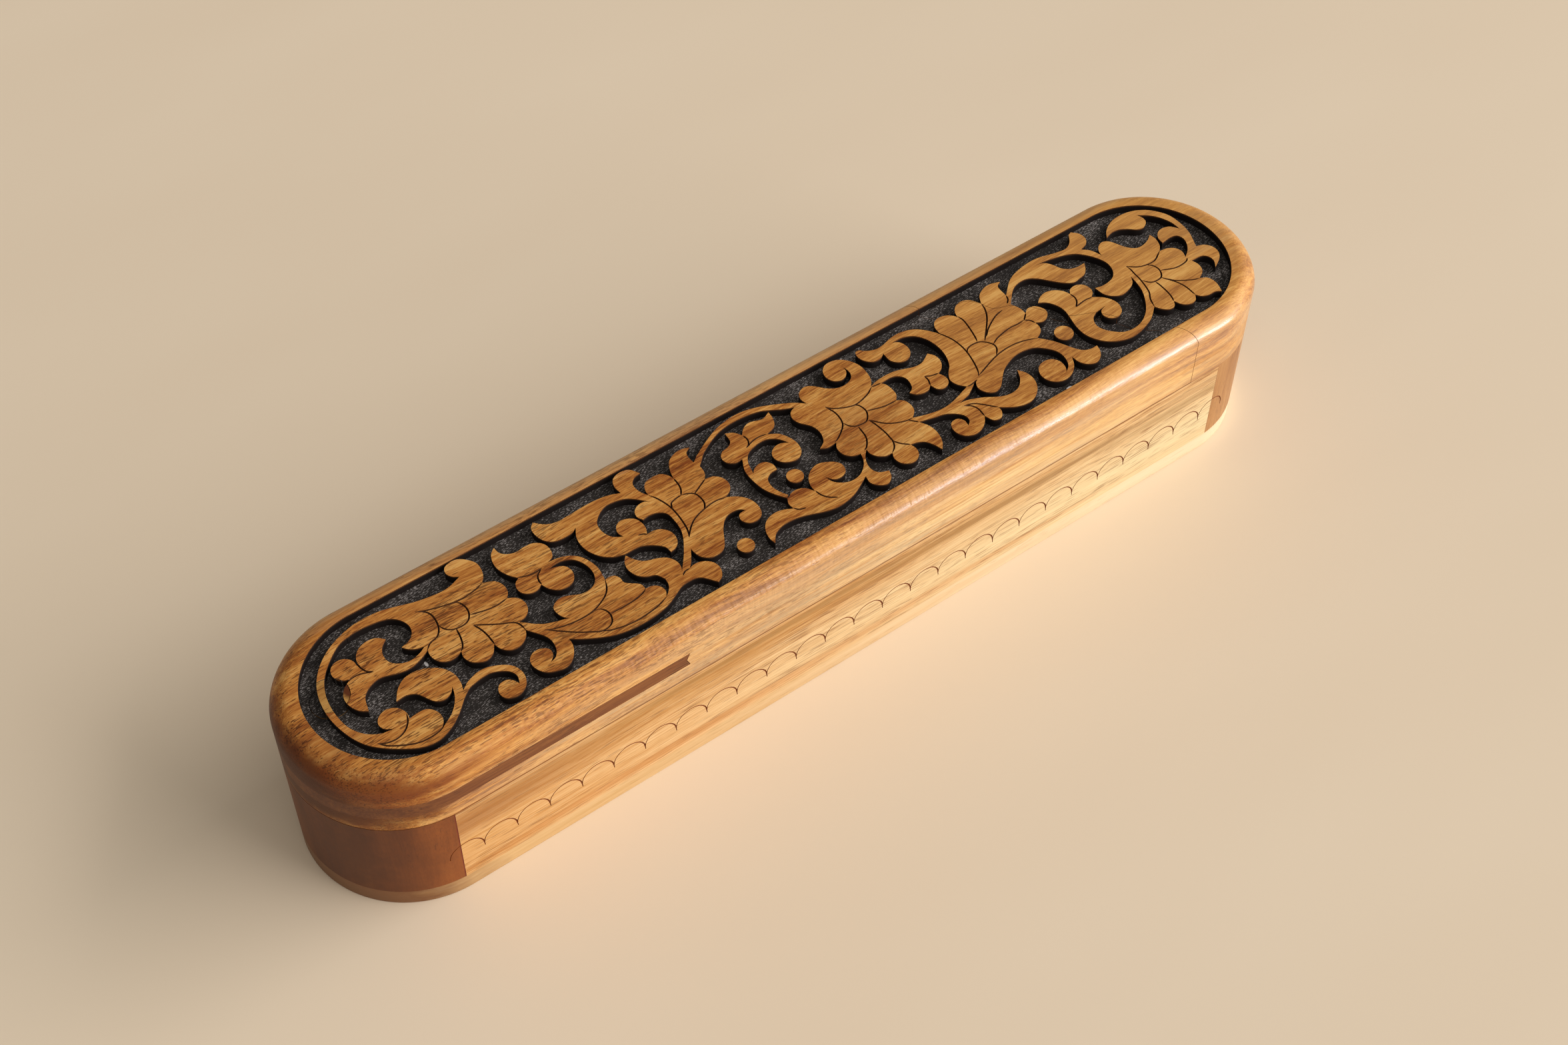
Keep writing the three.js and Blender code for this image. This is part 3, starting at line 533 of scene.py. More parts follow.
# sides: straight golden ash with fine brown lines, smoky streaks high up and an orange one low, paler
# towards the far end with painted light
sideLook = {
    **plainWood,
    "tones": [(0.33, "925A28"), (0.44, "C69252"), (0.54, "DCB076"), (0.66, "EAC892")],
    "bandSize": (150, 3, 3), "lineSize": (30, 0.32, 0.32), "lineShare": 0.65,
    "fibreSize": (3, 0.12, 0.12), "fibreShare": 0.16,
    "poreSize": (7, 0.25, 0.25), "poreFrom": 0.84, "poreShare": 0.6, "poreColour": "7E4E1E",
    "crowdSize": (40, 3, 3), "wander": 1.6, "wanderLength": 70, "shift": 3,
    "patches": [
        # paler in front towards the far end: painted light where the lamps fall strongest
        patch((90, -23, 10), (165, 12, 17), "E4D2A0", 0.75, soft=0.9),
        patch((-92, -23, 14), (70, 12, 18), "C8862E", 0.45, soft=0.9),
        patch((-98, -23, 22), (46, 12, 6), "9A5C24", 0.75, soft=0.8),
        patch((38, -23, 22.4), (46, 9, 1.5), "86602E", 0.7, ragged=2, rag=(18, 0.35, 0.35)),
        patch((84, -23, 20), (24, 9, 1.5), "9C743E", 0.55, ragged=2, rag=(14, 0.35, 0.35)),
        patch((-25, -23, 24.4), (60, 9, 1.2), "86602C", 0.7, ragged=1.4, rag=(24, 0.7, 0.7)),
        patch((-30, -23, 6.2), (120, 9, 1.5), "BE7A32", 0.45, ragged=1.2, rag=(36, 0.8, 0.8)),
        patch((-30, -23, 23), (120, 12, 6), "AE7830", 0.5, soft=0.8),
        patch((0, 0, 26.3), (900, 900, 0.2), "8A4E22", 0.6, ragged=0.2),
    ],
}
varnishedAsh = makeWood("varnishedAsh", sideLook)

# block under the pivot: smooth red-brown mahogany with hardly any figure, a red glue line at its joint, and
# painted shade over its near side
pivotBlockLook = {
    **plainWood, **thinVarnish,
    "tones": [(0.3, "63300E"), (0.45, "7A3E13"), (0.6, "8B4A19"), (0.75, "985620")],
    "bandSize": (40, 9, 9), "lineSize": (9, 0.7, 0.7), "lineShare": 0.25, "along": "z",
    "fibreSize": (1, 0.3, 0.3), "fibreShare": 0.1,
    "poreSize": (1.2, 0.25, 0.25), "poreFrom": 0.9, "poreShare": 0.4, "poreColour": "45200C",
    "crowdSize": (12, 6, 6), "bump": 0.12,
    "patches": [
        patch((-98.5, 0, 15), (0.35, 90, 90), "6E1C10", 0.8, ragged=0.2),
        # painted shade: darker over the near side, which turns away from the light
        patch((-116, -14, 15), (17, 26, 60), "4A230D", 0.75, soft=0.9),
    ],
}
sandedMahogany = makeWood("sandedMahogany", pivotBlockLook)

# far block: mid-brown teak with plain upright grain
farBlockLook = {
    **plainWood,
    "tones": [(0.3, "85542A"), (0.45, "9E6A36"), (0.6, "AE7C46"), (0.75, "BC8E58")],
    "bandSize": (40, 4, 4), "lineSize": (14, 0.6, 0.6), "lineShare": 0.4, "along": "z",
    "poreSize": (2, 0.3, 0.3), "poreFrom": 0.86, "poreShare": 0.5, "poreColour": "74471F",
    "crowdSize": (14, 5, 5), "shift": 5,
    "patches": [patch((98.5, 0, 15), (0.3, 90, 90), "8A5A2A", 0.7, ragged=0.2)],
}
varnishedTeak = makeWood("varnishedTeak", farBlockLook)

# slip in the lid's slot: dark walnut, dull and finely lined
slipLook = {
    **plainWood, **thinVarnish,
    "tones": [(0.3, "52290F"), (0.45, "6A3817"), (0.6, "7C481F"), (0.75, "8E5828")],
    "bandSize": (50, 3, 3), "lineSize": (16, 0.5, 0.5), "lineShare": 0.5,
    "poreSize": (3, 0.25, 0.25), "poreFrom": 0.84, "poreShare": 0.5, "poreColour": "35190C",
    "crowdSize": (20, 4, 4), "wander": 1, "wanderLength": 40, "shift": 9,
}
sandedWalnut = makeWood("sandedWalnut", slipLook)

# base: pale beech, darker at the pivot end with painted shade, paler in front towards the far end with
# painted light
baseLook = {
    **plainWood,
    "tones": [(0.3, "BC8E4E"), (0.45, "CAA062"), (0.6, "D6B078"), (0.75, "E2C28C")],
    "bandSize": (120, 4, 4), "lineSize": (50, 0.6, 0.6), "lineShare": 0.4,
    "fibreSize": (3, 0.15, 0.15), "fibreShare": 0.12,
    "poreSize": (5, 0.3, 0.3), "poreFrom": 0.88, "poreShare": 0.3, "poreColour": "A0712F",
    "crowdSize": (40, 5, 5), "wander": 1.5, "wanderLength": 70, "shift": 1,
    "roughness": 0.5, "varnish": 0.2,
    "patches": [
        # painted shade where the pivot end turns away from the light
        patch((-118, 0, 2), (34, 50, 12), "744018", 0.9, rag=(9, 5, 2)),
        # painted light: paler in front towards the far end, where the lamps fall strongest
        patch((100, -23, 2), (165, 40, 9), "EEDCB8", 0.75, soft=0.9),
    ],
}
varnishedBeech = makeWood("varnishedBeech", baseLook)

# sunk ground: black stain, matt, roughened by the gouge, with fine pale specks along the grain, partly pale
# fibres and partly painted glints
groundLook = {
    "stain": ("17120D", "3A332B"), "cloudSize": (7, 4, 4), "dull": 0.7, "shiny": 0.35,
    "glint": "AEA59C", "glintSize": (0.7, 0.16, 0.16), "glintFrom": 0.7, "glintTo": 0.8,
    "glintShare": 0.9, "crowding": 0.3, "bump": 0.7, "bumpDepth": 0.12,
    "splinter": "F4EEE4",  # bare wood; each splinter has a middle and a reach
    "splinters": [
        ((-105.6, -14.4, 40), (0.5, 0.45, 2)), ((-88.7, 0.9, 40), (0.35, 0.8, 2)),
        ((57.9, -17.1, 40), (0.8, 0.25, 2)), ((110.6, 5.5, 40), (0.9, 0.25, 2)),
    ],
}


def makeBlackGround(name, look):
    material, tree = startMaterial(name)
    spot = addNode(tree, "TexCoord").outputs["Object"]
    cloud = grain(tree, spot, look["cloudSize"], 3)
    fibres = grain(tree, spot, look["glintSize"], 3, shift=4)
    dark, pale = [toLinear(hexColour) for hexColour in look["stain"]]
    stain = addNode(tree, "MixRGB", {"Color1": dark, "Color2": pale}, {"Fac": cloud})
    crowded = addNode(
        tree, "Math", {"operation": "MULTIPLY_ADD", 1: look["crowding"]}, {0: cloud, 2: fibres},
    )
    # pale specks in the stain: partly pale fibres, partly painted glints
    glints = addNode(tree, "MapRange", {
        "From Min": look["glintFrom"], "From Max": look["glintTo"], "To Max": look["glintShare"],
    }, {"Value": crowded})
    stain = addNode(
        tree, "MixRGB", {"Color2": toLinear(look["glint"])}, {"Fac": glints, "Color1": stain},
    )
    for middle, reach in look["splinters"]:
        splinter = patch(middle, reach, look["splinter"], soft=0.3, ragged=0.4, rag=(0.3, 0.3, 0.3))
        stain = patchOver(tree, spot, splinter, stain)
    roughness = addNode(
        tree, "MapRange", {"To Min": look["dull"], "To Max": look["shiny"]}, {"Value": glints},
    )
    bump = addNode(
        tree, "Bump", {"Strength": look["bump"], "Distance": look["bumpDepth"] * mm}, {"Height": fibres},
    )
    endMaterial(
        tree, {"IOR": 1.5, "Specular IOR Level": 0.3},
        {"Base Color": stain, "Roughness": roughness, "Normal": bump},
    )
    return material


burnt = {"depth": 0.6, "uneven": 0.4, "cloudSize": (1.5, 1.5, 3), "roughness": 0.65}


def makeBurntWood(name, pale, dark):
    # dull scorched or sawn wood: the pale colour at the lid's face, the dark one from burnt depth down
    material, tree = startMaterial(name)
    spot = addNode(tree, "TexCoord").outputs["Object"]
    height = addNode(tree, "SeparateXYZ", links={"Vector": spot}).outputs["Z"]
    deep = addNode(tree, "MapRange", {
        "From Min": box["lidTop"] * mm, "From Max": (box["lidTop"] - burnt["depth"]) * mm,
    }, {"Value": height})
    deep = addNode(
        tree, "Math", {"operation": "MULTIPLY_ADD", 1: burnt["uneven"], "use_clamp": True},
        {0: grain(tree, spot, burnt["cloudSize"], 2), 2: deep},
    )
    tone = addNode(tree, "MixRGB", {"Color1": toLinear(pale), "Color2": toLinear(dark)}, {"Fac": deep})
    endMaterial(
        tree, {"Roughness": burnt["roughness"], "IOR": 1.5, "Specular IOR Level": 0.2},
        {"Base Color": tone},
    )
    return material


blackStain = makeBlackGround("blackStainedAcacia", groundLook)
burntWall = makeBurntWood("burntAcacia", "8A552A", "201814")
# the scallop strokes and the sawn seam have one tone all the way down
burntLine = makeBurntWood("burntLine", "7A3C14", "7A3C14")
sawnSeam = makeBurntWood("sawnAcacia", "8A5A2C", "8A5A2C")
lidFinishes = [varnishedAcacia, blackStain, burntWall, sawnSeam]
print("materials made")


# The carved lid: outlines in millimetres seen from above, drawn on the sunk panel

carving = {
    "rimAtSide": 4.5,
    "rimAtEnd": 6.1,
    "depth": 2.0,
    "roundOver": 4.4,
    "roundOverSteps": 12,
    "steepest": 75,  # slope in degrees at which the round-over meets the side
    "curveStep": 0.4,
    "lineWidth": 0.38,
    "lineDepth": 0.45,
    "lineTip": 0.35,  # share of the width at the ends of a line
    "tipLength": 0.1,  # share of the line that tapers, at each end
    "seamGap": 0.1,
}

# a row is a smooth stretch from its own first point to the first point of the next row
motifs = {
    "nearScroll": [
        [[-97.7, 15.5], [-101.2, 14.2], [-104.4, 12.2], [-107.1, 9.5], [-108.9, 6.5], [-109.9, 3.1],
         [-110.2, -0.4], [-109.8, -4.1], [-108.6, -8.1], [-106.5, -11.3], [-100, -16.2], [-96.5, -16.9],
         [-93.2, -15.9], [-90.3, -14], [-87.3, -11.3], [-85.6, -10.1]],
        [[-83.5, -9.5]], [[-83.5, -8.1], [-85.3, -8.8]],
        [[-86.8, -9.9], [-86.2, -7.9], [-86.2, -5.6], [-87.2, -3.4], [-89.1, -1.7], [-91.8, -0.7],
         [-94.4, -0.9], [-96.6, -2.4]],
        [[-98.2, -4.6], [-96, -4.5], [-94.3, -5.4], [-92.3, -8.9], [-90.6, -9.6], [-89, -9]],
        [[-88, -7.9], [-88.8, -10.1], [-90.3, -12.2], [-92.1, -13.7]],
        [[-94.3, -14.8], [-93.2, -13.2], [-93.2, -11.3], [-94.4, -9.6], [-96.2, -9.2]],
        [[-98.2, -9.5], [-98, -7.9], [-98.8, -6.1], [-100.7, -5.1], [-102.7, -5.8], [-103.6, -7.2],
         [-103.2, -8.7]],
        [[-101.7, -9.7], [-104.1, -9.3], [-106.5, -7.7], [-108.2, -5], [-108.8, -1.9], [-108.7, 1.9],
         [-107.8, 5.4], [-105.9, 8.7], [-100.6, 13.2]],
        [[-97.7, 14.1]],
    ],
    "nearLeaf": [
        [[-98.2, 15.3], [-95.6, 15.9], [-92.7, 16], [-89.4, 15.6], [-82.7, 13.5], [-78.2, 12.8],
         [-76.2, 12.9]],
        [[-73.1, 13.9], [-74.3, 14.8], [-74.9, 16.2], [-74.4, 17.5], [-72.9, 18.1], [-71.2, 17.9],
         [-69.7, 16.6], [-68.7, 14.9], [-68.7, 13.1], [-69.3, 11.3]],
        [[-70.4, 10]], [[-74.1, 8.9]], [[-78.2, 9.3]], [[-81.8, 8.7]], [[-82.3, 5.2]], [[-84.7, 3.4]],
        [[-86.9, 3.3], [-88.8, 3.7], [-90.2, 4.6]],
        [[-91, 5.7], [-89.1, 6.2], [-87.7, 7.5], [-87.2, 9.2], [-87.7, 11.1], [-89.1, 12.8], [-91.3, 13.7],
         [-96.5, 14.2]],
        [[-98.2, 13.9]],
    ],
    "nearComma": [
        [[-92.5, 9.2], [-93.8, 10.5], [-95.6, 10.9], [-97.7, 10.3], [-99.2, 8.8]],
        [[-99.8, 6.8]], [[-100.9, 7.5]], [[-102.3, 6.3]],
        [[-103.1, 4.7], [-104.7, 3.6], [-105.8, 1.8], [-105.8, -0.3], [-104.9, -2.3]],
        [[-103.5, -3.5], [-102.1, 0.1], [-98.5, 1.9], [-94.1, 0.7], [-92.1, 0.5], [-89.7, 1.1]],
        [[-87.5, 2.1]], [[-85.9, 1.6]], [[-85.3, 3.7]],
        [[-87.3, 3.3], [-89.1, 2.4], [-91.3, 2], [-93.4, 2.7], [-94.7, 4.2], [-94.8, 6.1], [-94, 7.9]],
    ],
    "flowerOne": [
        [[-86.2, 3.3], [-87.3, 2.1], [-87.6, 0.5], [-86.9, -1.4], [-85.3, -2.4], [-83.5, -2.3]],
        [[-82.3, -1.8], [-82.7, -3.2], [-82.1, -5.1], [-79.6, -6.5], [-77.7, -5.8]],
        [[-76.4, -4.1], [-75.9, -5.8], [-74.6, -7.1], [-72.9, -7.4], [-71.2, -6.7], [-70, -5.4],
         [-69.7, -3.9]],
        [[-69.8, -2.3], [-68.2, -2.1], [-66.8, -1], [-66.2, 0.8], [-66.8, 2.7]],
        [[-68.5, 3.9], [-67.5, 5.2], [-67.3, 6.9], [-68.1, 8.8]],
        [[-70.5, 10]], [[-76.5, 10.2]], [[-81.8, 9.6]], [[-82.9, 5.8]], [[-85, 4]],
    ],
    "curlOne": [
        [[-84.7, -8.6], [-82.7, -7.9], [-80.3, -8], [-76.8, -9.9], [-75.7, -11.7], [-75.6, -13.8],
         [-76.5, -15.7], [-78.2, -16.8], [-79.7, -16.9], [-81.3, -16.1], [-81.7, -14.4], [-80.7, -12.8],
         [-79.1, -12.6], [-78.1, -13.3]],
        [[-77.4, -14.8], [-76.8, -12.9], [-77.5, -11.2], [-80.3, -9.5], [-82.3, -9.4]],
        [[-84.7, -9.8]],
    ],
    "scrollTwo": [
        [[-63.9, 16.1], [-63.7, 14.4], [-62.6, 13.2], [-60.9, 12.6], [-58.8, 12.8], [-56.9, 12.5],
         [-55.4, 11.1], [-55.1, 9.3], [-55.7, 7.5]],
        [[-57.3, 6.7], [-55.3, 6.5], [-52.9, 5.6], [-51.3, 4], [-50.4, 1.8], [-50.1, -0.4]],
        [[-50.6, -3.6], [-49.6, -3.4], [-48.5, -3.9], [-48, -5], [-48, -6.3], [-45.6, -8.7]],
        [[-45.5, -10.1], [-44, -10.3], [-42.9, -11.3], [-42.6, -12.8]],
        [[-43.4, -14.2]], [[-46.2, -15.6]], [[-53.5, -16]], [[-59.4, -13.9]], [[-63.5, -11]],
        [[-66.2, -8.1]], [[-67.1, -4.9], [-66.2, -5.6], [-63.5, -6.7]],
        [[-61.2, -7.4], [-62, -6.7], [-62.6, -5.3], [-62.6, -3.6], [-61.6, -2.6], [-60, -2.2],
         [-58.2, -2.8], [-56.5, -3.7], [-54.7, -3.9], [-52.9, -3.2], [-51.8, -1.7], [-51.4, 0.2],
         [-51.8, 2.5], [-52.9, 4.4], [-54.7, 5.4], [-56.5, 5.5]],
        [[-58.4, 5.1], [-56.6, 4.8], [-55.1, 3.9], [-54.6, 2.4], [-54.9, 0.9], [-56, -0.3], [-57.8, -0.7],
         [-59.4, -0.2], [-60.7, 1.2]],
        [[-61.3, 2.8], [-62.6, 2.1], [-64.1, 2.2], [-65.4, 3.2], [-65.7, 4.7], [-65.2, 6]],
        [[-64, 6.8], [-65.3, 8.7], [-66.1, 11.1], [-66, 13.1], [-65.2, 15]],
    ],
    "lowStemOne": [
        [[-69.7, -4.7], [-67.3, -8.7], [-67.1, -10.6], [-67.7, -12.6], [-68.7, -13.7]],
        [[-70, -14.1], [-68.7, -12.9], [-68.5, -11.4], [-69.7, -10.3], [-71.5, -10.2], [-72.9, -11.3],
         [-73.2, -13.1], [-72.2, -15.3], [-70, -16.5], [-68.2, -16.8], [-66.5, -16.1], [-65, -14.5],
         [-64.3, -12.8]],
        [[-64.2, -11.4], [-62.4, -12.8], [-56.5, -15.9], [-50.6, -16.8], [-44.7, -16.1]],
        [[-39.6, -13.8]], [[-38.8, -10.7]], [[-41, -10.3], [-41.2, -11.7], [-42.1, -13.1]],
        [[-43.4, -14.2]], [[-46.2, -15.1]], [[-53.5, -15.1]], [[-61.2, -12.2]], [[-64.7, -8.9]],
        [[-61.2, -7.4], [-66.2, -5.6]], [[-69.8, -2.3]], [[-70.6, -3.4]],
    ],
    "topLeafOne": [
        [[-54.2, 17.1], [-53.4, 16.1], [-52.1, 15], [-50.3, 14.4], [-42.1, 14.6], [-38.2, 14.1]],
        [[-35.7, 13.1], [-35.8, 15.3], [-34.9, 17.1], [-32.8, 17.8], [-30.9, 17.3]],
        [[-29.6, 15.2], [-31, 15], [-32.3, 13.9], [-32.6, 12.4], [-32.3, 10.8]],
        [[-31.5, 9.3]], [[-30.3, 6.3]], [[-30, 3.4]], [[-29.9, -0.4]], [[-30.6, -1.9]],
        [[-31.1, -0.4], [-31.2, 3], [-32.2, 4.2], [-34.1, 4.9]],
        [[-36, 4.7], [-36.6, 5.9], [-36.2, 7.4], [-34.7, 8.4], [-33.2, 8.4]],
        [[-32.2, 7.7], [-34.6, 10.4], [-36.2, 11.5], [-40, 12.1], [-42.6, 10.8], [-44, 9.2], [-44.3, 6.9],
         [-43.5, 4.7]],
        [[-41.6, 3.3], [-42, 4.9], [-41.2, 6.5], [-39.7, 7.1], [-37.4, 6], [-36.7, 4.3], [-36.8, 2.5]],
        [[-37.5, 1.1], [-35.9, 1.1], [-34.4, 0.4], [-33.4, -1], [-33.2, -2.6], [-33.8, -4.2],
         [-34.9, -5.1]],
        [[-36.2, -5.4], [-36.5, -3.6], [-40, -0.8]],
        [[-44, -0.5], [-46.2, 0.3], [-48.1, 2], [-49.3, 4.4], [-49.6, 6.7], [-49.2, 8.8]],
        [[-48, 10.9], [-49.4, 10.2], [-53.4, 10.5], [-54.9, 11.9], [-55.5, 14], [-55.3, 15.9]],
    ],
    "waveLeafOne": [
        [[-44, -0.9], [-45.1, -2.2], [-45.6, -3.9], [-45.1, -6.2], [-43.8, -7.6], [-41.9, -8.5]],
        [[-41, -10.3]], [[-41.2, -11.7]], [[-40.6, -13.7]], [[-40, -13.9], [-38.5, -13.6], [-35.6, -13.9]],
        [[-33, -17.1], [-31.6, -16.3], [-30.7, -14.4], [-31, -12.6], [-32.4, -11.2], [-34.1, -10.7]],
        [[-35.7, -11], [-34.7, -10.1]], [[-32.6, -7.1]], [[-30.3, -4.8]], [[-29.9, -0.4]], [[-30.3, 1.6]],
        [[-30.9, 1.4], [-31.6, -2.5], [-34.1, -6.8]],
        [[-37.4, -10.9], [-36.8, -9.7], [-36.7, -8.1], [-37.6, -6.3], [-39.1, -5.3], [-41.8, -4.2],
         [-43.1, -2.8]],
    ],
    "flowerTwo": [
        [[-31.5, 9.3], [-31.3, 10.8], [-30.1, 12.5], [-26.5, 12.6], [-25.3, 11.3]],
        [[-24.9, 9.9], [-24.4, 11.8], [-23.1, 14.2], [-21.3, 15.3], [-19.4, 15.6]],
        [[-17.5, 15], [-18.8, 14.2], [-19.2, 12.5]], [[-19.1, 11.1]], [[-17.4, 12.4]], [[-16.8, 11.3]],
        [[-18.7, 9.6], [-18.8, 8.1], [-19.2, 7]],
        [[-20, 6.1], [-18.1, 5.7], [-16.8, 4.2], [-16.6, 2.2], [-17.4, 0.8]],
        [[-19.3, -0.3], [-17.2, -1.6], [-15.7, -3.6], [-15.3, -6], [-16, -8.1], [-17.5, -8.9],
         [-19.3, -8.6], [-20.3, -7], [-19.7, -5.6]],
        [[-18, -5.4], [-19, -4.5], [-20.9, -4.2], [-22.6, -4.8], [-24.3, -6.5], [-27.1, -10.7],
         [-28.8, -11.4], [-30.7, -11.2], [-32.1, -10], [-32.6, -8.3]],
        [[-32.6, -7.1]], [[-32.4, -5.4]], [[-30.3, -2.5]], [[-30.3, 3.4]],
    ],
    "highStemOne": [
        [[-19.4, 10.8], [-17.6, 12.2], [-9.1, 16.2], [-2.1, 16.5], [7.1, 12.4]],
        [[9.3, 10.5], [9, 12.2], [9.7, 13.8], [11.5, 14.6], [12.9, 14.1], [15.6, 11.2], [17.4, 10.2],
         [19.4, 10.1], [21, 10.7], [21.9, 11.9], [22, 13.4]],
        [[21.7, 14.4], [21.6, 13.1], [20.7, 12], [19.3, 11.6], [17.8, 12.3], [17.1, 13.8], [17.4, 15.6],
         [18.8, 17], [20.6, 17.2], [22.4, 16.6], [24, 14.9], [24.9, 12.7], [24.9, 10.3], [24.3, 8]],
        [[23.1, 6.4]], [[20.6, 5.2]], [[16.5, 4.9]], [[12.7, 6.3]], [[8.8, 8.7]], [[7.1, 10.2]],
        [[6.6, 11.2], [4.4, 12.2], [0, 14.6], [-4.7, 15.4], [-9.7, 15], [-15.6, 12.3]],
        [[-18.4, 9.9]],
    ],
    "flowerThree": [
        [[6.6, 11.2], [5.2, 10.6], [4.4, 9.2], [4.6, 7.5], [6.3, 4.9], [6.7, 3.3], [6.5, 1.6],
         [5.6, -0.1]],
        [[4, -1.1], [5.3, -1.8]],
        [[7.7, -1.7], [6.8, -3.1], [6.8, -5], [7.9, -6.5], [9.6, -7.1]],
        [[11, -6.9]],
        [[11.5, -6.9], [11.4, -8.2], [12.2, -9.7], [13.7, -10.7]],
        [[15.2, -10.8], [14.6, -12.2], [14.9, -13.9], [16.2, -15.1], [17.8, -15.3], [19.3, -14.4],
         [19.9, -12.8]],
        [[19.6, -11.2], [21.2, -11.6], [22.5, -12.4], [23.5, -14.1]],
        [[24.1, -16.1], [25.4, -14.5], [26.2, -11.9], [26, -9.5]],
        [[24.9, -7.3]], [[24.7, -6.6]],
        [[24.6, -5.7], [26.2, -4.2], [26.6, -2.5], [26.2, -0.8]],
        [[24.9, 0.2], [26, 1.6], [26, 5]], [[25.3, 6]], [[22.6, 6.4]], [[17.6, 6.3]], [[12.7, 9.3]],
        [[9.3, 10.5]],
    ],
    "stemThree": [
        [[22.7, 6.3], [25, 7], [29.7, 7], [34.1, 5.5], [36, 5.5]],
        [[38.7, 6.9], [39.6, 5.5], [39.6, 3.6], [38.5, 1.9]],
        [[36.9, 1], [37.5, -0.6], [37.1, -2.2], [35.4, -3], [34, -2.4]],
        [[33.4, -0.6], [32.4, -1.4], [30.9, -1.5], [29.4, -0.9]],
        [[28.5, 0.2], [29.7, 0.9], [30.4, 2.4], [30.5, 4], [29.7, 5.3], [28.4, 6]],
        [[25.3, 6]], [[23.5, 5.2]],
    ],
    "lowLeafTwo": [
        [[-18.3, -15.8], [-18.5, -14.2], [-17.9, -12], [-16.5, -10.3], [-14.4, -9.5], [-12.3, -9.7]],
        [[-10, -10.8], [-10.1, -9.2]],
        [[-9.4, -7.8], [-10.9, -5.4], [-12, -2.5], [-12.1, 2.8]],
        [[-10.6, 6], [-12.3, 6], [-13.7, 7.1], [-13.9, 8.7], [-12.8, 10], [-11, 10.4], [-9.8, 11.3]],
        [[-9.4, 13.8], [-7.8, 12.9]],
        [[-6.8, 11.3], [-5.4, 12.7], [-3.7, 13.3], [-0.6, 12.5]],
        [[1.4, 13.3], [1.1, 11.3], [0.1, 9.5]],
        [[-2.5, 8.5], [-0.4, 7.1], [0.7, 5], [1.1, 3], [0.6, 0.8], [-0.9, -0.5], [-2.6, -0.5], [-4.4, 0.5],
         [-5.2, 2.1], [-4.8, 3.7], [-3.2, 4.8], [-1.6, 4.8]],
        [[-0.2, 3.9], [-1.2, 5.8], [-2.5, 7], [-4.1, 7.6], [-8.2, 6.8], [-10, 4.9]],
        [[-11.1, 1.4], [-10.3, 2.3], [-8.8, 2.9], [-7.3, 2.6], [-6.4, 1.2]],
        [[-6.5, -0.4], [-8.2, -0.5], [-9.6, -1.5], [-10.1, -3.4], [-9.7, -5.4]],
        [[-8.7, -7.4], [-6.8, -7.1], [-5, -7.8]],
        [[-3.8, -9.7], [-3.6, -7.8], [-2.6, -5.9], [-0.9, -4.6], [1.2, -4.2], [4.4, -6], [5, -7.5],
         [4.4, -9.1], [2.8, -9.8], [1.2, -9.4]],
        [[0.1, -7.8], [0.6, -9.7], [2.1, -11.2], [4.1, -11.9], [6.2, -11.6], [8.1, -10.3], [9.3, -8.7]],
        [[9.8, -7.2]], [[10.3, -6]], [[11.8, -6.3]],
        [[11.5, -6.9], [10.2, -8.2], [9.2, -10.1], [9, -11.9], [9.7, -13.3]],
        [[11.7, -14.2], [11, -15.8], [9.4, -16.8], [7.7, -16.1], [6.6, -14.5]],
        [[6.9, -12.6], [1.8, -15.1], [-2.1, -15.7], [-4.7, -15.3], [-10, -13.4], [-12.3, -13],
         [-14.7, -13.1], [-16.8, -14]],
    ],
    "commaThree": [
        [[27.5, 16.3], [28.7, 15.2], [30.6, 14.4], [32.6, 14.5], [35, 15.1], [37.1, 15.3], [39.1, 15],
         [40.9, 14.2], [42.6, 12.7]],
        [[44.1, 10.6]], [[45.9, 6.3]], [[45.7, 0.5]], [[43.8, -3.9]], [[42.4, -5.2], [41.2, -5.6]],
        [[40.7, -6]], [[38.2, -7.5]],
        [[35, -8.3], [36.8, -8.5], [40.3, -10], [42.1, -11.2], [44.1, -12.2], [46.2, -12.5], [48.1, -12],
         [49.9, -10.3]],
        [[51, -8.1], [52, -9.8], [52.2, -11.9], [51.5, -13.9], [50, -15.6], [47.9, -16.6], [45.9, -16.6],
         [43.5, -15.7]],
        [[40.9, -13.9], [40.8, -15.1], [39.6, -16.5], [37.9, -16.2]],
        [[37, -14.1], [36, -15.4], [34.4, -16.5], [32.4, -16.9], [30.4, -16.1], [29.4, -14.5],
         [29.4, -12.8], [30.3, -11.5], [31.9, -11.4], [32.8, -12.6]],
        [[32.6, -14.2], [33.7, -13.2], [33.8, -11.7], [32.6, -10.1], [30.6, -8.8], [28.2, -8.2]],
        [[24.9, -7.3]], [[22.9, -5.4]],
        [[24.6, -5.7], [27.6, -6.7], [30.6, -7.3], [33.5, -7.2]],
        [[39.4, -5.5], [38.1, -3.8], [37.7, -2], [38.7, -0.2], [40.3, 1.5], [41.5, 4.3], [41.8, 7.2],
         [41.2, 10.3], [39.6, 12.7], [37.4, 13.8]],
        [[34.6, 13.9], [35.9, 13.1], [36.5, 11.2], [36, 9.3], [34.3, 8.1], [32.4, 8.4], [31.1, 9.9]],
        [[31.1, 12.4], [29.7, 11.7], [27.9, 11.9], [26.5, 13.3], [26.1, 15], [26.6, 16.3]],
    ],
    "flowerFour": [
        [[44.6, 10.3], [44.9, 12.1], [45.9, 13.4], [47.4, 13.8], [49.1, 13.4], [50.3, 12.4]],
        [[50.8, 11.5], [51.3, 13.1], [52.6, 14.4], [54.4, 14.8], [56, 14.2]],
        [[57.6, 11.8], [58.8, 13.8], [60.9, 15], [62.9, 15.2]],
        [[65.2, 14.5], [63.9, 13.7]],
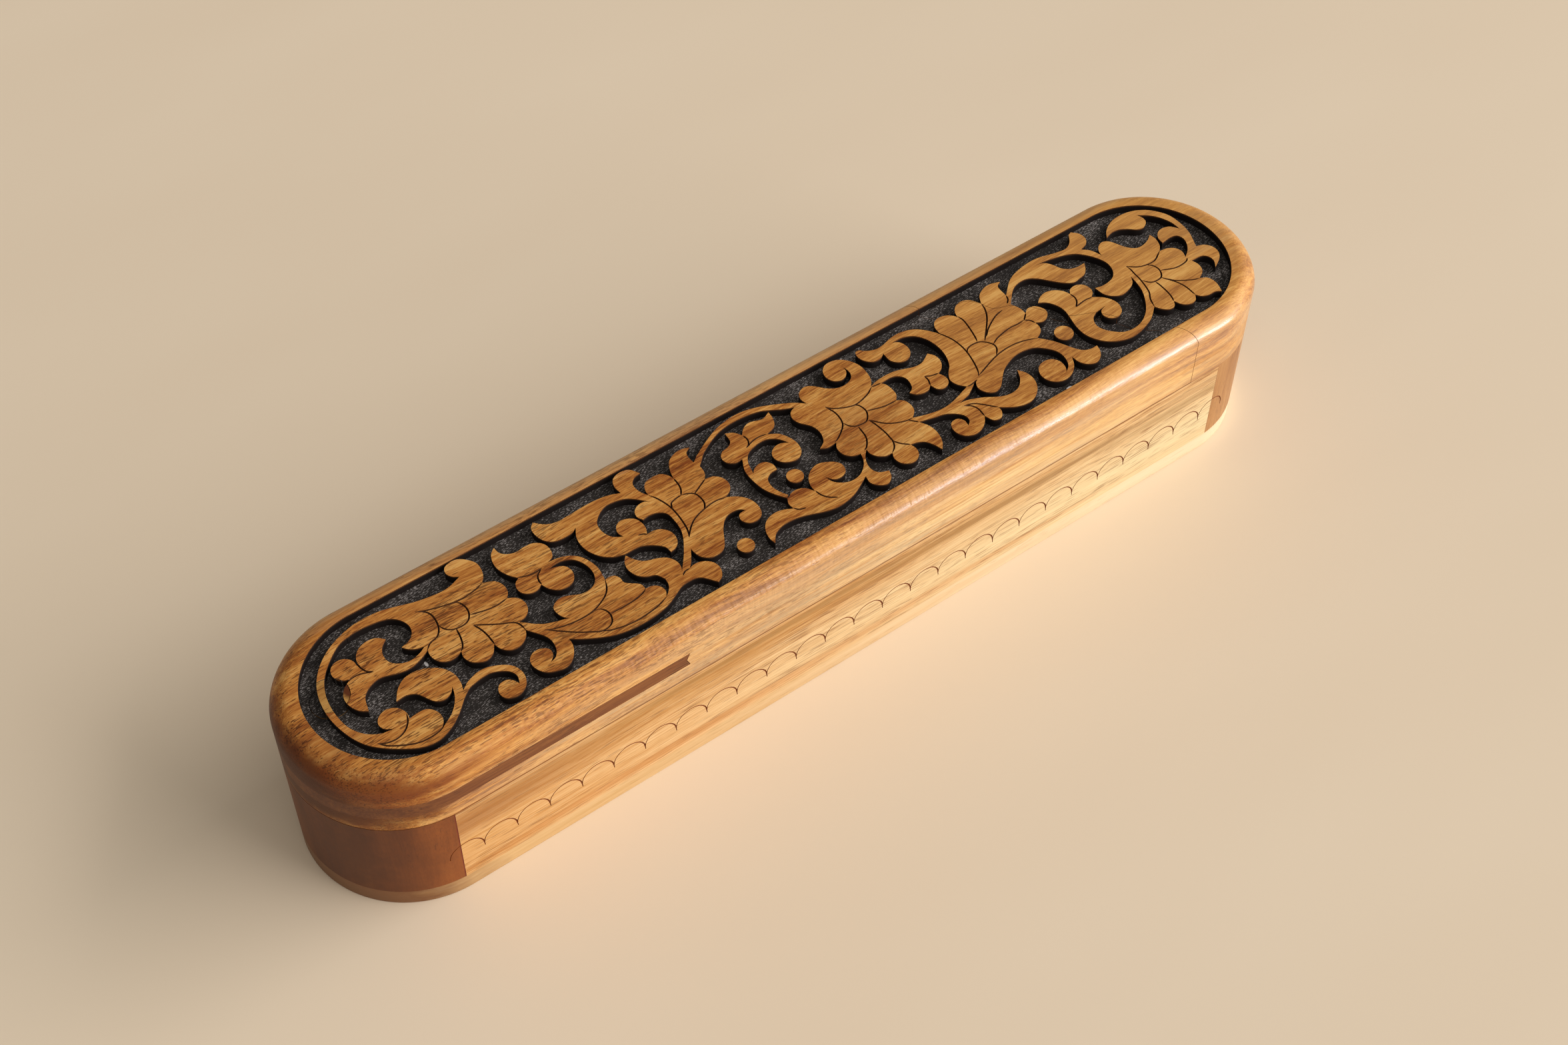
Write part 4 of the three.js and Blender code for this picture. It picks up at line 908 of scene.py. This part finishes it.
        [[63.5, 10.4], [67.3, 13.6], [70.3, 14.8], [75.9, 15.4], [81.2, 14.2], [83.8, 13.9], [85.7, 14.9]],
        [[87.2, 16.9]],
        [[88.1, 17.2], [89.3, 15.8], [89.5, 14], [88.5, 12.5]],
        [[86.3, 11.7], [87.8, 10.2]],
        [[88.8, 7.5], [89, 8.7], [90.2, 10.2], [91.6, 10.7], [92.9, 10.1], [95, 6.2], [96.5, 4.8],
         [98.2, 4.6], [100.3, 5.2]],
        [[101.8, 6.2], [102, 4.6], [101.3, 2.4]], [[100, 1]], [[97.7, 0.5]], [[93.2, 0.5]], [[90.8, 1.8]],
        [[90.7, -1]],
        [[89.5, -1.2], [88.2, -3.1], [84.4, -4.3], [82.5, -3.6], [81.1, -2]],
        [[80.7, 0.7], [82.3, 0.3], [84.4, 0.4], [86.3, 1.1], [87.6, 2.7], [88.1, 4.9], [87.5, 7.2],
         [86, 9.7], [83.8, 11.8], [78.2, 13.5]],
        [[75, 13.8], [76.9, 13.2], [78.1, 11.5], [78.7, 9.9], [80, 8.6], [81.8, 8]],
        [[84, 8], [83.1, 6.6], [81.8, 5.4], [80, 5], [78.2, 4.8], [76.2, 6.1], [72.3, 10.6], [70.6, 11.7],
         [68.5, 11.9], [66.2, 11.1]],
        [[62.6, 7.8], [63.4, 5.6]],
        [[63.4, 3.7], [64.6, 4.6], [66.3, 4.3], [67.4, 2.8], [67.5, 1.5], [66.3, 0.1], [64.8, -0.3]],
        [[63.2, 0.4], [63.2, -1], [62.5, -2.3]],
        [[60.6, -3.4], [62.8, -6.2], [65.9, -11.7], [67.7, -12.6]],
        [[69.4, -12.6], [69, -14.1], [67.8, -15.6], [66.2, -16.3], [64.4, -15.7], [63.2, -14.1]],
        [[62.9, -12], [61.6, -14.2], [59.7, -15.7], [57.6, -16.2], [55.6, -15.6], [54.3, -14.1],
         [54.1, -12], [55.3, -10.1], [57.2, -9.5], [59, -10], [60, -11.7], [59.7, -13.7]],
        [[59, -14.7], [60.7, -13.4], [61.6, -11], [61.3, -8.7], [58.5, -5.4], [56.2, -4.6], [53.8, -4.5],
         [51.2, -5.2], [48.8, -6.4], [44.7, -9.9], [42.9, -10.1], [41.5, -8.9], [41, -7.2], [41.6, -5.8]],
        [[42.4, -5.2]], [[43.5, -3.6]], [[44.9, 0.5]], [[45.1, 6.3]],
    ],
    "waveLeafTwo": [
        [[67.7, 4.6], [69, 5.6], [70.9, 6.1], [72.8, 5.6], [74.4, 4.2]],
        [[75.1, 2.5], [76, 3.6], [77.7, 3.9], [79.3, 3], [79.8, 1.2], [79.3, -0.1]],
        [[78.2, -0.9], [80.3, -2.6], [81.5, -4.8], [81.5, -6.4], [80.6, -8.1], [78.8, -8.8], [77.2, -8.1],
         [76.6, -6.7], [77.1, -5.4]],
        [[79, -4.7]],
        [[76, -5], [74.3, -6], [73.4, -7.8], [73.7, -9.7], [76.8, -13], [80.9, -13.3], [84.8, -11.2],
         [88.2, -6.6], [89.1, -3.8]],
        [[89.5, -1.2]], [[90.8, 1.8]], [[90.2, -5.1]],
        [[87.3, -11.2], [83.8, -13.7], [77.3, -15.2], [72.7, -13.5], [70.6, -11.2], [69.6, -8.7],
         [69.6, -6], [70.8, -0.4], [70.3, 1.9], [69.1, 3.7]],
    ],
    "flowerFive": [
        [[100, 1], [101.9, 0.7], [103.4, -0.3], [104, -1.9]],
        [[103.4, -3.8], [105.3, -2.4], [106.6, -0.7], [107.1, 1.1], [106.5, 2.5], [105, 2.9]],
        [[102.4, 2.6], [102.7, 4.4], [104, 5.8], [105.6, 6.1], [107.3, 5.5]],
        [[108.6, 3.7], [108.5, 6.3], [107.5, 9], [105.9, 11.1]],
        [[103.8, 12.7], [104.3, 11.3], [104, 9.9], [102.3, 8.8], [100.7, 9.2], [99.1, 10.6], [97.3, 11.6],
         [95.6, 11.8]],
        [[93.5, 11.2], [94.7, 12.7], [96.8, 14.1], [99.1, 14.8], [101.8, 14.8], [104.4, 14.1],
         [106.8, 12.6], [108.5, 10.6], [109.7, 8.1], [109.7, 2.5]],
        [[107.7, -2.6], [109.4, -3.3], [110.5, -4.8], [110.5, -6.7], [109.4, -8.3]],
        [[106.6, -10], [107.7, -8.3], [107.7, -6.9], [106.8, -5.7]],
        [[103.7, -5.4], [104.1, -7.2], [103.4, -9.2]], [[101.3, -10.5], [102.8, -11.4], [103.3, -13.5]],
        [[102.5, -16.3], [101.3, -15.6], [99.4, -15.5], [97.8, -14.8]],
        [[97, -13.7], [95.9, -15], [94.3, -15.2], [92.7, -14.2]],
        [[91.9, -12.4], [90.9, -13.7], [89.4, -13.7], [88.1, -12.6]],
        [[87.3, -11.2]], [[87.9, -8.7]], [[89.6, -4.2]], [[90.2, -1]], [[90.8, 1.8]], [[93.2, 2.2]],
    ],
}

berries = [(-102.5, 7.6, 2.5), (-23.3, -12.8, 1.8), (-4.6, -4, 1.8), (66.2, -5.6, 2.1)]  # x, y, radius

# lines cut into the faces of leaves and flowers
veins = [
    [[-84.6, 11.5], [-83.2, 10.6], [-82.4, 9], [-82.8, 5.8], [-84.1, 4], [-86.2, 3.3], [-87.5, 2.1]],
    [[-84.6, 11.5], [-82.1, 10.4], [-76.2, 9], [-72.1, 9.4], [-70.4, 10]],
    [[-82.7, 6.2], [-82.1, 4.6], [-80.9, 3.6], [-78.5, 3.3], [-77.2, 3.9], [-76.3, 5.3], [-76.1, 6.8],
     [-76.5, 8.3], [-77.3, 9.1]],
    [[-80.3, 3.3], [-80.7, 1.1], [-81.4, -0.8], [-82.3, -1.8]],
    [[-76.5, 4.7], [-72.7, 3.7], [-70.6, 3.6], [-68.5, 3.9]],
    [[-77.2, 2.2], [-73.5, -0.3], [-70.3, -2.2], [-69.8, -3.4], [-69.7, -4.7]],
    [[-77.2, 2.2], [-76.6, 0.5], [-76.3, -1.3], [-76.3, -4.1]],
    [[-66.8, -6.9], [-65.3, -7.7], [-61.2, -8.7], [-56.8, -8.6], [-52.9, -6.9], [-51.6, -5.6],
     [-50.6, -3.6]],
    [[-66.8, -6.9], [-61.8, -11.3], [-60, -12.5], [-58.2, -13.6], [-56.8, -13.7], [-55.4, -13.1],
     [-54.6, -11.7], [-54.6, -10.3], [-55.3, -9.1], [-56.6, -8.6]],
    [[-58.2, -13.6], [-56.5, -14.5], [-51.8, -15.5], [-46.5, -15.1], [-43.4, -14.2]],
    [[-54.5, -11.1], [-50, -11.2], [-46.8, -10.7], [-45.5, -10.1]],
    [[-64.1, 7], [-62.4, 6.3], [-60.6, 6.1], [-59, 6.2]],
    [[-59.4, 6], [-60.6, 5.2], [-61.2, 3.7], [-61.2, 2.8]],
    [[-105.9, -10.8], [-104.4, -11.7], [-102.3, -12], [-100.3, -11.3], [-98.8, -9.8], [-98.1, -8.2]],
    [[-105.9, -10.8], [-104.4, -12.5], [-100, -15], [-97.3, -15.4], [-95, -15.1], [-93.5, -14.4]],
    [[-103.5, 4.7], [-102.1, 5], [-100.6, 4.9], [-98.2, 3.9]],
    [[-99.8, 7.5], [-99.7, 6.1], [-99.2, 4.7], [-98.2, 3.9]],
    [[-31.5, 9.3], [-30.6, 7.5], [-29.7, 3.7], [-30.3, -2.5], [-31.2, -4.5]],
    [[-31.2, -4.5], [-30, -3.1], [-28.2, -1.6], [-26.2, -0.7], [-21.8, 0.1], [-19.1, -0.3]],
    [[-29.6, 3.7], [-29, 4.9], [-27.9, 5.3], [-26.2, 5.5]],
    [[-26.2, 5.5], [-24.7, 4.9], [-23.7, 4], [-23.5, 1.4], [-24.1, 0.2], [-24.6, -0.2]],
    [[-24.9, 9.9], [-25, 8.1], [-25.4, 6.7], [-26.2, 5.5]],
    [[-23.8, 4.2], [-19.9, 6.1]], [[-35.7, -11], [-36.9, -11.1], [-37.7, -11.7]],
    [[-37.5, 1.1], [-38.1, 1.6], [-39.1, 1.9]], [[-10, -10.7], [-9.3, -11.6], [-7.9, -12.1]],
    [[-3.7, -9.7], [-3.4, -11.2], [-2.5, -12.6], [-1, -13.7]],
    [[-9.4, -7.8], [-8.2, -7.2]],
    [[-6.7, 11.1], [-6.6, 9.6], [-7.3, 8.4], [-8.1, 8]],
    [[-8.1, 8], [-5.9, 8.8], [-4.1, 8.9], [-2.5, 8.6]],
    [[11.8, 7.5], [12.5, 4.9], [12.1, 2.1], [11.3, 0.9], [8.5, -1.1], [7.3, -1.6]],
    [[11.8, 7.5], [12.7, 6.3], [15.9, 4.6], [17.6, 4.3], [21.2, 5.2], [23.1, 6.3]],
    [[12.1, 1.6], [12.5, 0.5], [13.4, -0.4], [15, -0.8], [16.5, -0.6], [18, 1.5], [17.6, 3.9],
     [16.5, 4.5]],
    [[18.1, 1.5], [21.8, 0.4], [24.9, 0.2]], [[25.3, 6], [23.1, 6.3]],
    [[16.8, -0.7], [19.4, -3.8], [22.9, -5.5], [24.6, -5.7]],
    [[16.8, -0.7], [17.2, -2.2], [17.5, -5.7], [17.4, -7.2], [17.3, -8.3], [16.5, -9.8], [15.2, -10.8]],
    [[14, -1], [13.4, -4.4], [11.9, -6.4], [11, -6.9]],
    [[17.3, -8.3], [18.1, -9.7], [19.6, -11.2]], [[23.5, -5.7], [24.9, -7.3]],
    [[34, 2.1], [34, 0.8], [33.4, -0.6]], [[34, 2.1], [35.3, 1.4], [36.9, 1.1]],
    [[35.4, -9.4], [36.6, -10.3], [37.2, -11.7], [37, -14.1]],
    [[35.4, -9.4], [37.4, -10.1], [40.9, -13.9]],
    [[44.3, 10.6], [45.7, 6.7], [45.8, 2.5], [44.1, -3.4], [43.3, -4.5]],
    [[43.3, -4.5], [50.9, -2.1], [55.6, -1.9], [59.1, -2.8], [60.6, -3.5]],
    [[42.4, -5.2], [40.3, -5.6], [39.4, -5.5]],
    [[45.9, 2.2], [46.3, 2.8], [47.6, 3.3], [50.1, 2.9], [51.8, 0.6], [51.6, -0.6], [50.3, -2.1]],
    [[50.9, 11.7], [51.2, 10.2], [50, 4.6], [49.5, 3.4]],
    [[57.6, 11.7], [57.1, 9.9], [55.9, 7.8], [51, 2.6]],
    [[52.1, 3.4], [53.8, 4.9], [57.9, 7.1], [60, 7.5]],
    [[63.5, 10.4], [63.1, 9.3], [62.1, 8.4]],
    [[51.9, 0.8], [53.5, 1.6], [57.6, 2.4], [60, 2.3], [61.8, 2.4]],
    [[63.4, 3.7], [61.8, 2.4]], [[61.8, 2.4], [62.8, 1.5], [63.2, 0.4]],
    [[75.1, 2.5], [75.2, 1.1], [74.7, -0.1], [73.5, -1.2]],
    [[73.5, -1.2], [76.5, -0.8], [78.2, -1]],
    [[90.8, 1.8], [90.9, 0.5], [90.7, -1], [90.5, -3.1], [89.4, -7.2], [88.2, -8.9], [87.3, -11.2]],
    [[90.8, 1.8], [91.8, 0.8], [93.2, -0.1], [96.8, -0.6], [100, 1]],
    [[94.7, -0.6], [95.6, -1.4], [96, -2.8], [95.7, -4.1], [94.7, -5.3], [92.3, -5.4], [91.3, -4.7],
     [90.6, -3.6]],
    [[96, -3.6], [99.4, -5], [102.7, -4.8], [103.5, -4.2]],
    [[92.7, -5.6], [92.8, -7.2], [92.5, -10.7], [91.9, -12.4]],
    [[94.6, -5.3], [96.5, -8.7], [97, -10.7], [97, -13.7]],
    [[95.3, -6.3], [96.5, -7.9], [100, -10.1], [101.3, -10.5]],
]

# the sawn seam between lid board and end cap, from the back edge to the front edge
seam = [
    [43.6, 26], [44.4, 22], [45.3, 19.6], [46.5, 16.6], [49, 15.1], [52.5, 14.7], [55.2, 14.3],
    [57.2, 12.3], [58.7, 9.1], [62.3, 7.5], [65.4, 4.8], [67.6, 1.4], [70.6, -2.4], [75.6, -5],
    [78.6, -8.6], [80.9, -12.9], [84.6, -15.8], [87.5, -19.4], [90, -23], [91.8, -26],
]

ground = box["lidTop"] - carving["depth"]
woodSlot, groundSlot, burntSlot, sawnSlot = range(4)  # places in lidFinishes


def motifOutline(rows):
    outline = []
    for row, following in zip(rows, rows[1:] + rows[:1]):
        stretch = [(x, y, 0) for x, y in row + following[:1]]
        outline += through(stretch, carving["curveStep"])[:-1]
    return [(p.x, p.y) for p in outline]


def makeGroundTool():
    # what is taken away: the whole panel without the scroll
    low, high = ground - beyond, box["lidTop"] + beyond
    leaves = [slab(name, motifOutline(rows), low, high) for name, rows in motifs.items()]
    balls = [rod("berry", x, y, radius, low, high) for x, y, radius in berries]
    scroll, *others = leaves + balls
    for piece in (scroll, *others):
        paint(piece, lidFinishes, burntSlot)
    group = gather("scroll", others)
    combine(scroll, "UNION", group)
    radius = box["radius"] - carving["rimAtSide"]
    centre = box["halfLength"] - carving["rimAtEnd"] - radius
    panel = roundEndedBoard("panel", ground, high, radius, centre)
    paint(panel, lidFinishes, burntSlot)
    for face in panel.data.polygons:
        if face.center.z < ground * mm + near * mm:
            face.material_index = groundSlot
    combine(panel, "DIFFERENCE", scroll)
    drop(group, scroll)
    return panel


def lineTaper(t):
    tip = carving["lineTip"]
    return min(1, tip + (1 - tip) * min(t, 1 - t) / carving["tipLength"])


def makeVeinTools():
    # each line is as deep as lineDepth, whatever its width
    stretch = 2 * carving["lineDepth"] / carving["lineWidth"]
    tools = []
    for points in veins:
        path = through([(x, y, box["lidTop"]) for x, y in points], carving["curveStep"])
        tool = graver("vein", path, carving["lineWidth"], lineTaper)
        paint(tool, lidFinishes, burntSlot)
        for vertex in tool.data.vertices:
            vertex.co.z += (vertex.co.z - box["lidTop"] * mm) * (stretch - 1)
        tools.append(tool)
    return gather("veins", tools)


def makeSeamTool(side):
    # all that lies on one side of the wavy seam
    path = through([(x, y, 0) for x, y in seam], carving["curveStep"])
    shift = side * carving["seamGap"] / 2
    outline = []
    for i, spot in enumerate(path):
        along = (path[min(i + 1, len(path) - 1)] - path[max(i - 1, 0)]).normalized()
        outline.append((spot.x - along.y * shift, spot.y + along.x * shift))
    edge = side * (box["halfLength"] + beyond)
    outline += [(edge, -box["radius"] - beyond), (edge, box["radius"] + beyond)]
    tool = slab("seamTool", outline, 0, box["lidTop"] + beyond)
    paint(tool, lidFinishes, sawnSlot)
    return tool


def flattenRim(board):
    # turns the quarter round into a wider arc that meets the side at a faint edge
    width, top = carving["roundOver"], box["lidTop"]
    steepest = math.radians(carving["steepest"])
    reach = width / math.sin(steepest)
    for vertex in board.data.vertices:
        x, y, z = vertex.co / mm
        centre = max(-endCentre, min(endCentre, x))
        arm = math.hypot(x - centre, y)
        inset = box["radius"] - arm
        if z < top - width - near or inset > width - near:
            continue
        slope = math.asin(1 - max(0, inset) / width) / (math.pi / 2) * steepest
        scale = (box["radius"] - width + reach * math.sin(slope)) / arm
        rounded = (centre + (x - centre) * scale, y * scale, top - reach * (1 - math.cos(slope)))
        vertex.co = Vector(rounded) * mm


def makeCarvedBlank(name, bottom, groundTool, veinTools):
    blank = roundEndedBoard(name, bottom, box["lidTop"], box["radius"], endCentre)
    roundRim(blank, box["lidTop"], carving["roundOver"], carving["roundOverSteps"])
    flattenRim(blank)
    paint(blank, lidFinishes, woodSlot)
    combine(blank, "DIFFERENCE", groundTool)
    combine(blank, "DIFFERENCE", veinTools)
    return blank


def makeCopy(piece, name):
    twin = addObject(name, piece.data.copy())
    twin.data.name = name
    return twin


# Lid board, end cap, dowel and slip

pivot = {
    "x": (dowelLow.x + dowelHigh.x) / 2,
    "y": (dowelLow.y + dowelHigh.y) / 2,
    "radius": (dowelHigh.x - dowelLow.x) / 2,
    "lidClearance": 0.14,
    "blockClearance": 0.15,
    "boreDepth": 0.5,  # how far the bore runs past the dowel
}
lid = {"settling": 0.14}  # how far it lies below its drawn place, on the varnish of the body
slip = {"endGap": 0.12, "notch": 0.8, "notchLength": 3}


def pivotRod(name, clearance, bottom, top):
    return rod(name, pivot["x"], pivot["y"], pivot["radius"] + clearance, bottom, top)


def makeNotch(name, apex, finishes):
    # a wedge across the lid whose point makes the swallow-tailed end of the slip
    middle = (slipLow.z + slipHigh.z) / 2
    length = slip["notchLength"]
    rise = (slipHigh.z - slipLow.z) / 2 * length / slip["notch"]
    outline = [(apex, middle), (apex + length, middle - rise), (apex + length, middle + rise)]
    wedge = slab(name, outline, -box["radius"] - beyond, box["radius"] + beyond)
    wedge.rotation_euler = (math.radians(90), 0, 0)
    paint(wedge, finishes)
    return settle(wedge)


groundTool = makeGroundTool()
veinTools = makeVeinTools()
blank = makeCarvedBlank("carvedBlank", box["lidBottom"] - lid["settling"], groundTool, veinTools)
print("blank carved")

lidBoard = makeCopy(blank, "lidBoard")
seamTool = makeSeamTool(-1)
combine(lidBoard, "INTERSECT", seamTool)
slotEnd = slipHigh.x + slip["endGap"]
slotTool = bar(
    "slotTool", (-box["halfLength"] - beyond, -box["radius"] - beyond, slipLow.z),
    (slotEnd, box["radius"] + beyond, slipHigh.z),
)
paint(slotTool, lidFinishes)
slotNotch = makeNotch("slotNotch", slotEnd - slip["notch"], lidFinishes)
combine(slotTool, "DIFFERENCE", slotNotch)
combine(lidBoard, "DIFFERENCE", slotTool)
holeTool = pivotRod("holeTool", pivot["lidClearance"], 0, box["lidTop"] + beyond)
paint(holeTool, lidFinishes, groundSlot)
combine(lidBoard, "DIFFERENCE", holeTool)
finishPiece(lidBoard, "lid", "lid_board")
print("lid board cut")

pivotDowel = makeCopy(blank, "pivotDowel")
dowelTool = pivotRod("dowelTool", 0, box["lidBottom"] - beyond, box["lidTop"] + beyond)
paint(dowelTool, lidFinishes)
combine(pivotDowel, "INTERSECT", dowelTool)
shank = pivotRod("shank", 0, dowelLow.z, slipLow.z)
paint(shank, lidFinishes)
combine(pivotDowel, "UNION", shank)
pivotDowel.data.materials[woodSlot] = varnishedPaleAcacia
finishPiece(pivotDowel, "lid", "pivot_dowel")
print("dowel turned")

fixedEndCap = makeCarvedBlank("fixedEndCap", box["bodyTop"], groundTool, veinTools)
capTool = makeSeamTool(1)
combine(fixedEndCap, "INTERSECT", capTool)
finishPiece(fixedEndCap, "box", "fixed_end_cap")
print("end cap cut")

slipPlate = roundEndedBoard("slipPlate", slipLow.z, slipHigh.z, box["radius"], endCentre)
keepBeyond(slipPlate, slipHigh.x, -1)
paint(slipPlate, [sandedWalnut])
slipNotch = makeNotch("slipNotch", slipHigh.x - slip["notch"], [sandedWalnut])
combine(slipPlate, "DIFFERENCE", slipNotch)
paint(holeTool, [sandedWalnut])
combine(slipPlate, "DIFFERENCE", holeTool)
finishPiece(slipPlate, "lid", "lid_slip_plate")
drop(blank, seamTool, slotTool, slotNotch, slipNotch, holeTool, dowelTool, shank, capTool)
drop(groundTool, veinTools)
print("slip fitted")


# Body: base plate, side panels and end blocks, with the scallop line cut along both sides

scallop = {
    "pitch": 7.54,
    "firstCusp": -93.55,
    "cusps": 26,
    "cuspHeight": 11.8,
    "arcHeight": 3.7,
    "width": 0.4,
    "step": 0.35,
    "tail": 0.8,  # how far the stroke runs down past its cusp
    "tailLean": 0.1,
    "lightest": 0.5,  # shares of the width: at the start and at the cusp
    "heaviest": 0.95,
    "lift": 0.96,  # where along the stroke the tail begins
}
base = {"edgeEase": 0.25, "easeSteps": 3}


def sideSurface(x):
    # how far the wall lies from the middle plane at a place along the box
    past = max(0, abs(x) - endCentre)
    return math.sqrt(box["radius"] ** 2 - past ** 2)


def scallopPath(start, end, side):
    # half a round from cusp to cusp, with a short tail at its right end
    middle, half = (start + end) / 2, (end - start) / 2
    steps = round(math.pi * half / scallop["step"])
    path = []
    for i in range(steps + 1):
        turn = math.pi * (1 - i / steps)
        x = middle + half * math.cos(turn)
        z = scallop["cuspHeight"] + scallop["arcHeight"] * math.sin(turn)
        path.append((x, side * sideSurface(x), z))
    tailEnd = scallop["cuspHeight"] - scallop["tail"]
    path.append((end + scallop["tailLean"], side * sideSurface(end), tailEnd))
    return path


def scallopTaper(t):
    # a light stroke that bears down towards the cusp
    light = scallop["lightest"]
    return light + (scallop["heaviest"] - light) * t ** 3 if t < scallop["lift"] else light


def makeScallopTools():
    tools = []
    for side in (-1, 1):
        for i in range(scallop["cusps"] + 1):
            start = scallop["firstCusp"] + (i - 1) * scallop["pitch"]
            path = scallopPath(start, start + scallop["pitch"], side)
            tools.append(graver("scallop", path, scallop["width"], scallopTaper))
    return gather("scallops", tools)


def cutScallops(piece, tools, wood):
    paint(piece, [wood, burntLine])
    for tool in tools.objects:
        paint(tool, [wood, burntLine], 1)
    combine(piece, "DIFFERENCE", tools)


scallopTools = makeScallopTools()

basePlate = roundEndedBoard("basePlate", 0, box["baseTop"], box["radius"], endCentre)
roundRim(basePlate, 0, base["edgeEase"], base["easeSteps"])
paint(basePlate, [varnishedBeech])
finishPiece(basePlate, "box", "base_plate")

for name, node in (("frontSidePanel", "front_side_panel"), ("backSidePanel", "back_side_panel")):
    panel = bar(name, *boxOf(node))
    cutScallops(panel, scallopTools, varnishedAsh)
    finishPiece(panel, "box", node)

for side, name, node, wood, slotName in (
    (-1, "pivotEndBlock", "pivot_end_block", sandedMahogany, "dark_block_wood"),
    (1, "farEndBlock", "far_end_block", varnishedTeak, "far_block_wood"),
):
    endBlock = roundEndedBoard(name, box["baseTop"], box["bodyTop"], box["radius"], endCentre)
    keepBeyond(endBlock, side * box["blockFace"], side)
    cutScallops(endBlock, scallopTools, wood)
    if name == "pivotEndBlock":
        bore = pivotRod(
            "bore", pivot["blockClearance"], dowelLow.z - pivot["boreDepth"], box["bodyTop"] + beyond,
        )
        paint(bore, [wood, burntLine])
        combine(endBlock, "DIFFERENCE", bore)
        drop(bore)
    finishPiece(endBlock, "box", node)
drop(scallopTools)
print("body made")


# Floor, light and camera

stage = {
    "floorSize": 4, "floorColours": ("EAD5B4", "F0DDBD"), "cloudSize": (180, 60, 60),
    "lampColour": "FAF8FF", "fillColour": "FFFCF7", "fillStrength": 0.19,
}
bpy.ops.object.select_all(action="DESELECT")
bpy.ops.mesh.primitive_plane_add(size=stage["floorSize"], location=(0, 0, 0))
floor = newest("floor")
palePaint, floorTree = startMaterial("paleMattPaint")
floorCloud = grain(floorTree, addNode(floorTree, "TexCoord").outputs["Object"], stage["cloudSize"], 2)
floorTones = [toLinear(hexColour) for hexColour in stage["floorColours"]]
floorTone = addNode(
    floorTree, "MixRGB", {"Color1": floorTones[0], "Color2": floorTones[1]}, {"Fac": floorCloud},
)
endMaterial(floorTree, {"Roughness": 0.9, "Specular IOR Level": 0}, {"Base Color": floorTone})
floor.data.materials.append(palePaint)

# each lamp stands at an azimuth, elevation and distance from where it aims; metres and watts
lamps = {
    "mainSoftbox": {
        "aim": (0, 0, 0.03), "azimuth": -35, "elevation": 27, "distance": 8,
        "width": 10.4, "height": 5.8, "power": 885,
    },
    "lowStrip": {
        "aim": (0.03, -0.02, 0.035), "azimuth": -60, "elevation": 2, "distance": 1,
        "width": 0.7, "height": 0.09, "power": 4,
    },
    "topSoftbox": {
        "aim": (0, 0, 0), "azimuth": -110, "elevation": 62, "distance": 4,
        "width": 3.6, "height": 3.6, "power": 34,
    },
}
for name, lamp in lamps.items():
    azimuth, elevation = math.radians(lamp["azimuth"]), math.radians(lamp["elevation"])
    level = math.cos(elevation)
    outward = Vector((math.cos(azimuth) * level, math.sin(azimuth) * level, math.sin(elevation)))
    bpy.ops.object.light_add(type="AREA", location=Vector(lamp["aim"]) + outward * lamp["distance"])
    light = newest(name)
    light.rotation_euler = outward.to_track_quat("Z", "Y").to_euler()
    light.data.shape = "RECTANGLE"
    light.data.size = lamp["width"]
    light.data.size_y = lamp["height"]
    light.data.energy = lamp["power"]
    light.data.color = toLinear(stage["lampColour"])[:3]

world = bpy.data.worlds.new("softFill")
bpy.context.scene.world = world
world.use_nodes = True
background = world.node_tree.nodes["Background"]
background.inputs["Color"].default_value = toLinear(stage["fillColour"])
background.inputs["Strength"].default_value = stage["fillStrength"]

# the camera stands where the photograph's edges and round ends place it; metres
view = {
    "place": (-0.189998, -0.246237, 0.393469),
    "turn": (39.7813, -0.3562, -36.5957),
    "focalPixels": 3438.05,
    "imageWidth": 2352,
    "sensor": 36,
    "clipStart": 0.01,
}
bpy.ops.object.camera_add(location=view["place"], rotation=[math.radians(a) for a in view["turn"]])
camera = bpy.context.object
camera.data.sensor_fit = "HORIZONTAL"
camera.data.sensor_width = view["sensor"]
camera.data.lens = view["focalPixels"] / view["imageWidth"] * view["sensor"]
camera.data.clip_start = view["clipStart"]
bpy.context.scene.camera = camera
bpy.context.scene.view_settings.view_transform = "Standard"
print("stage set")
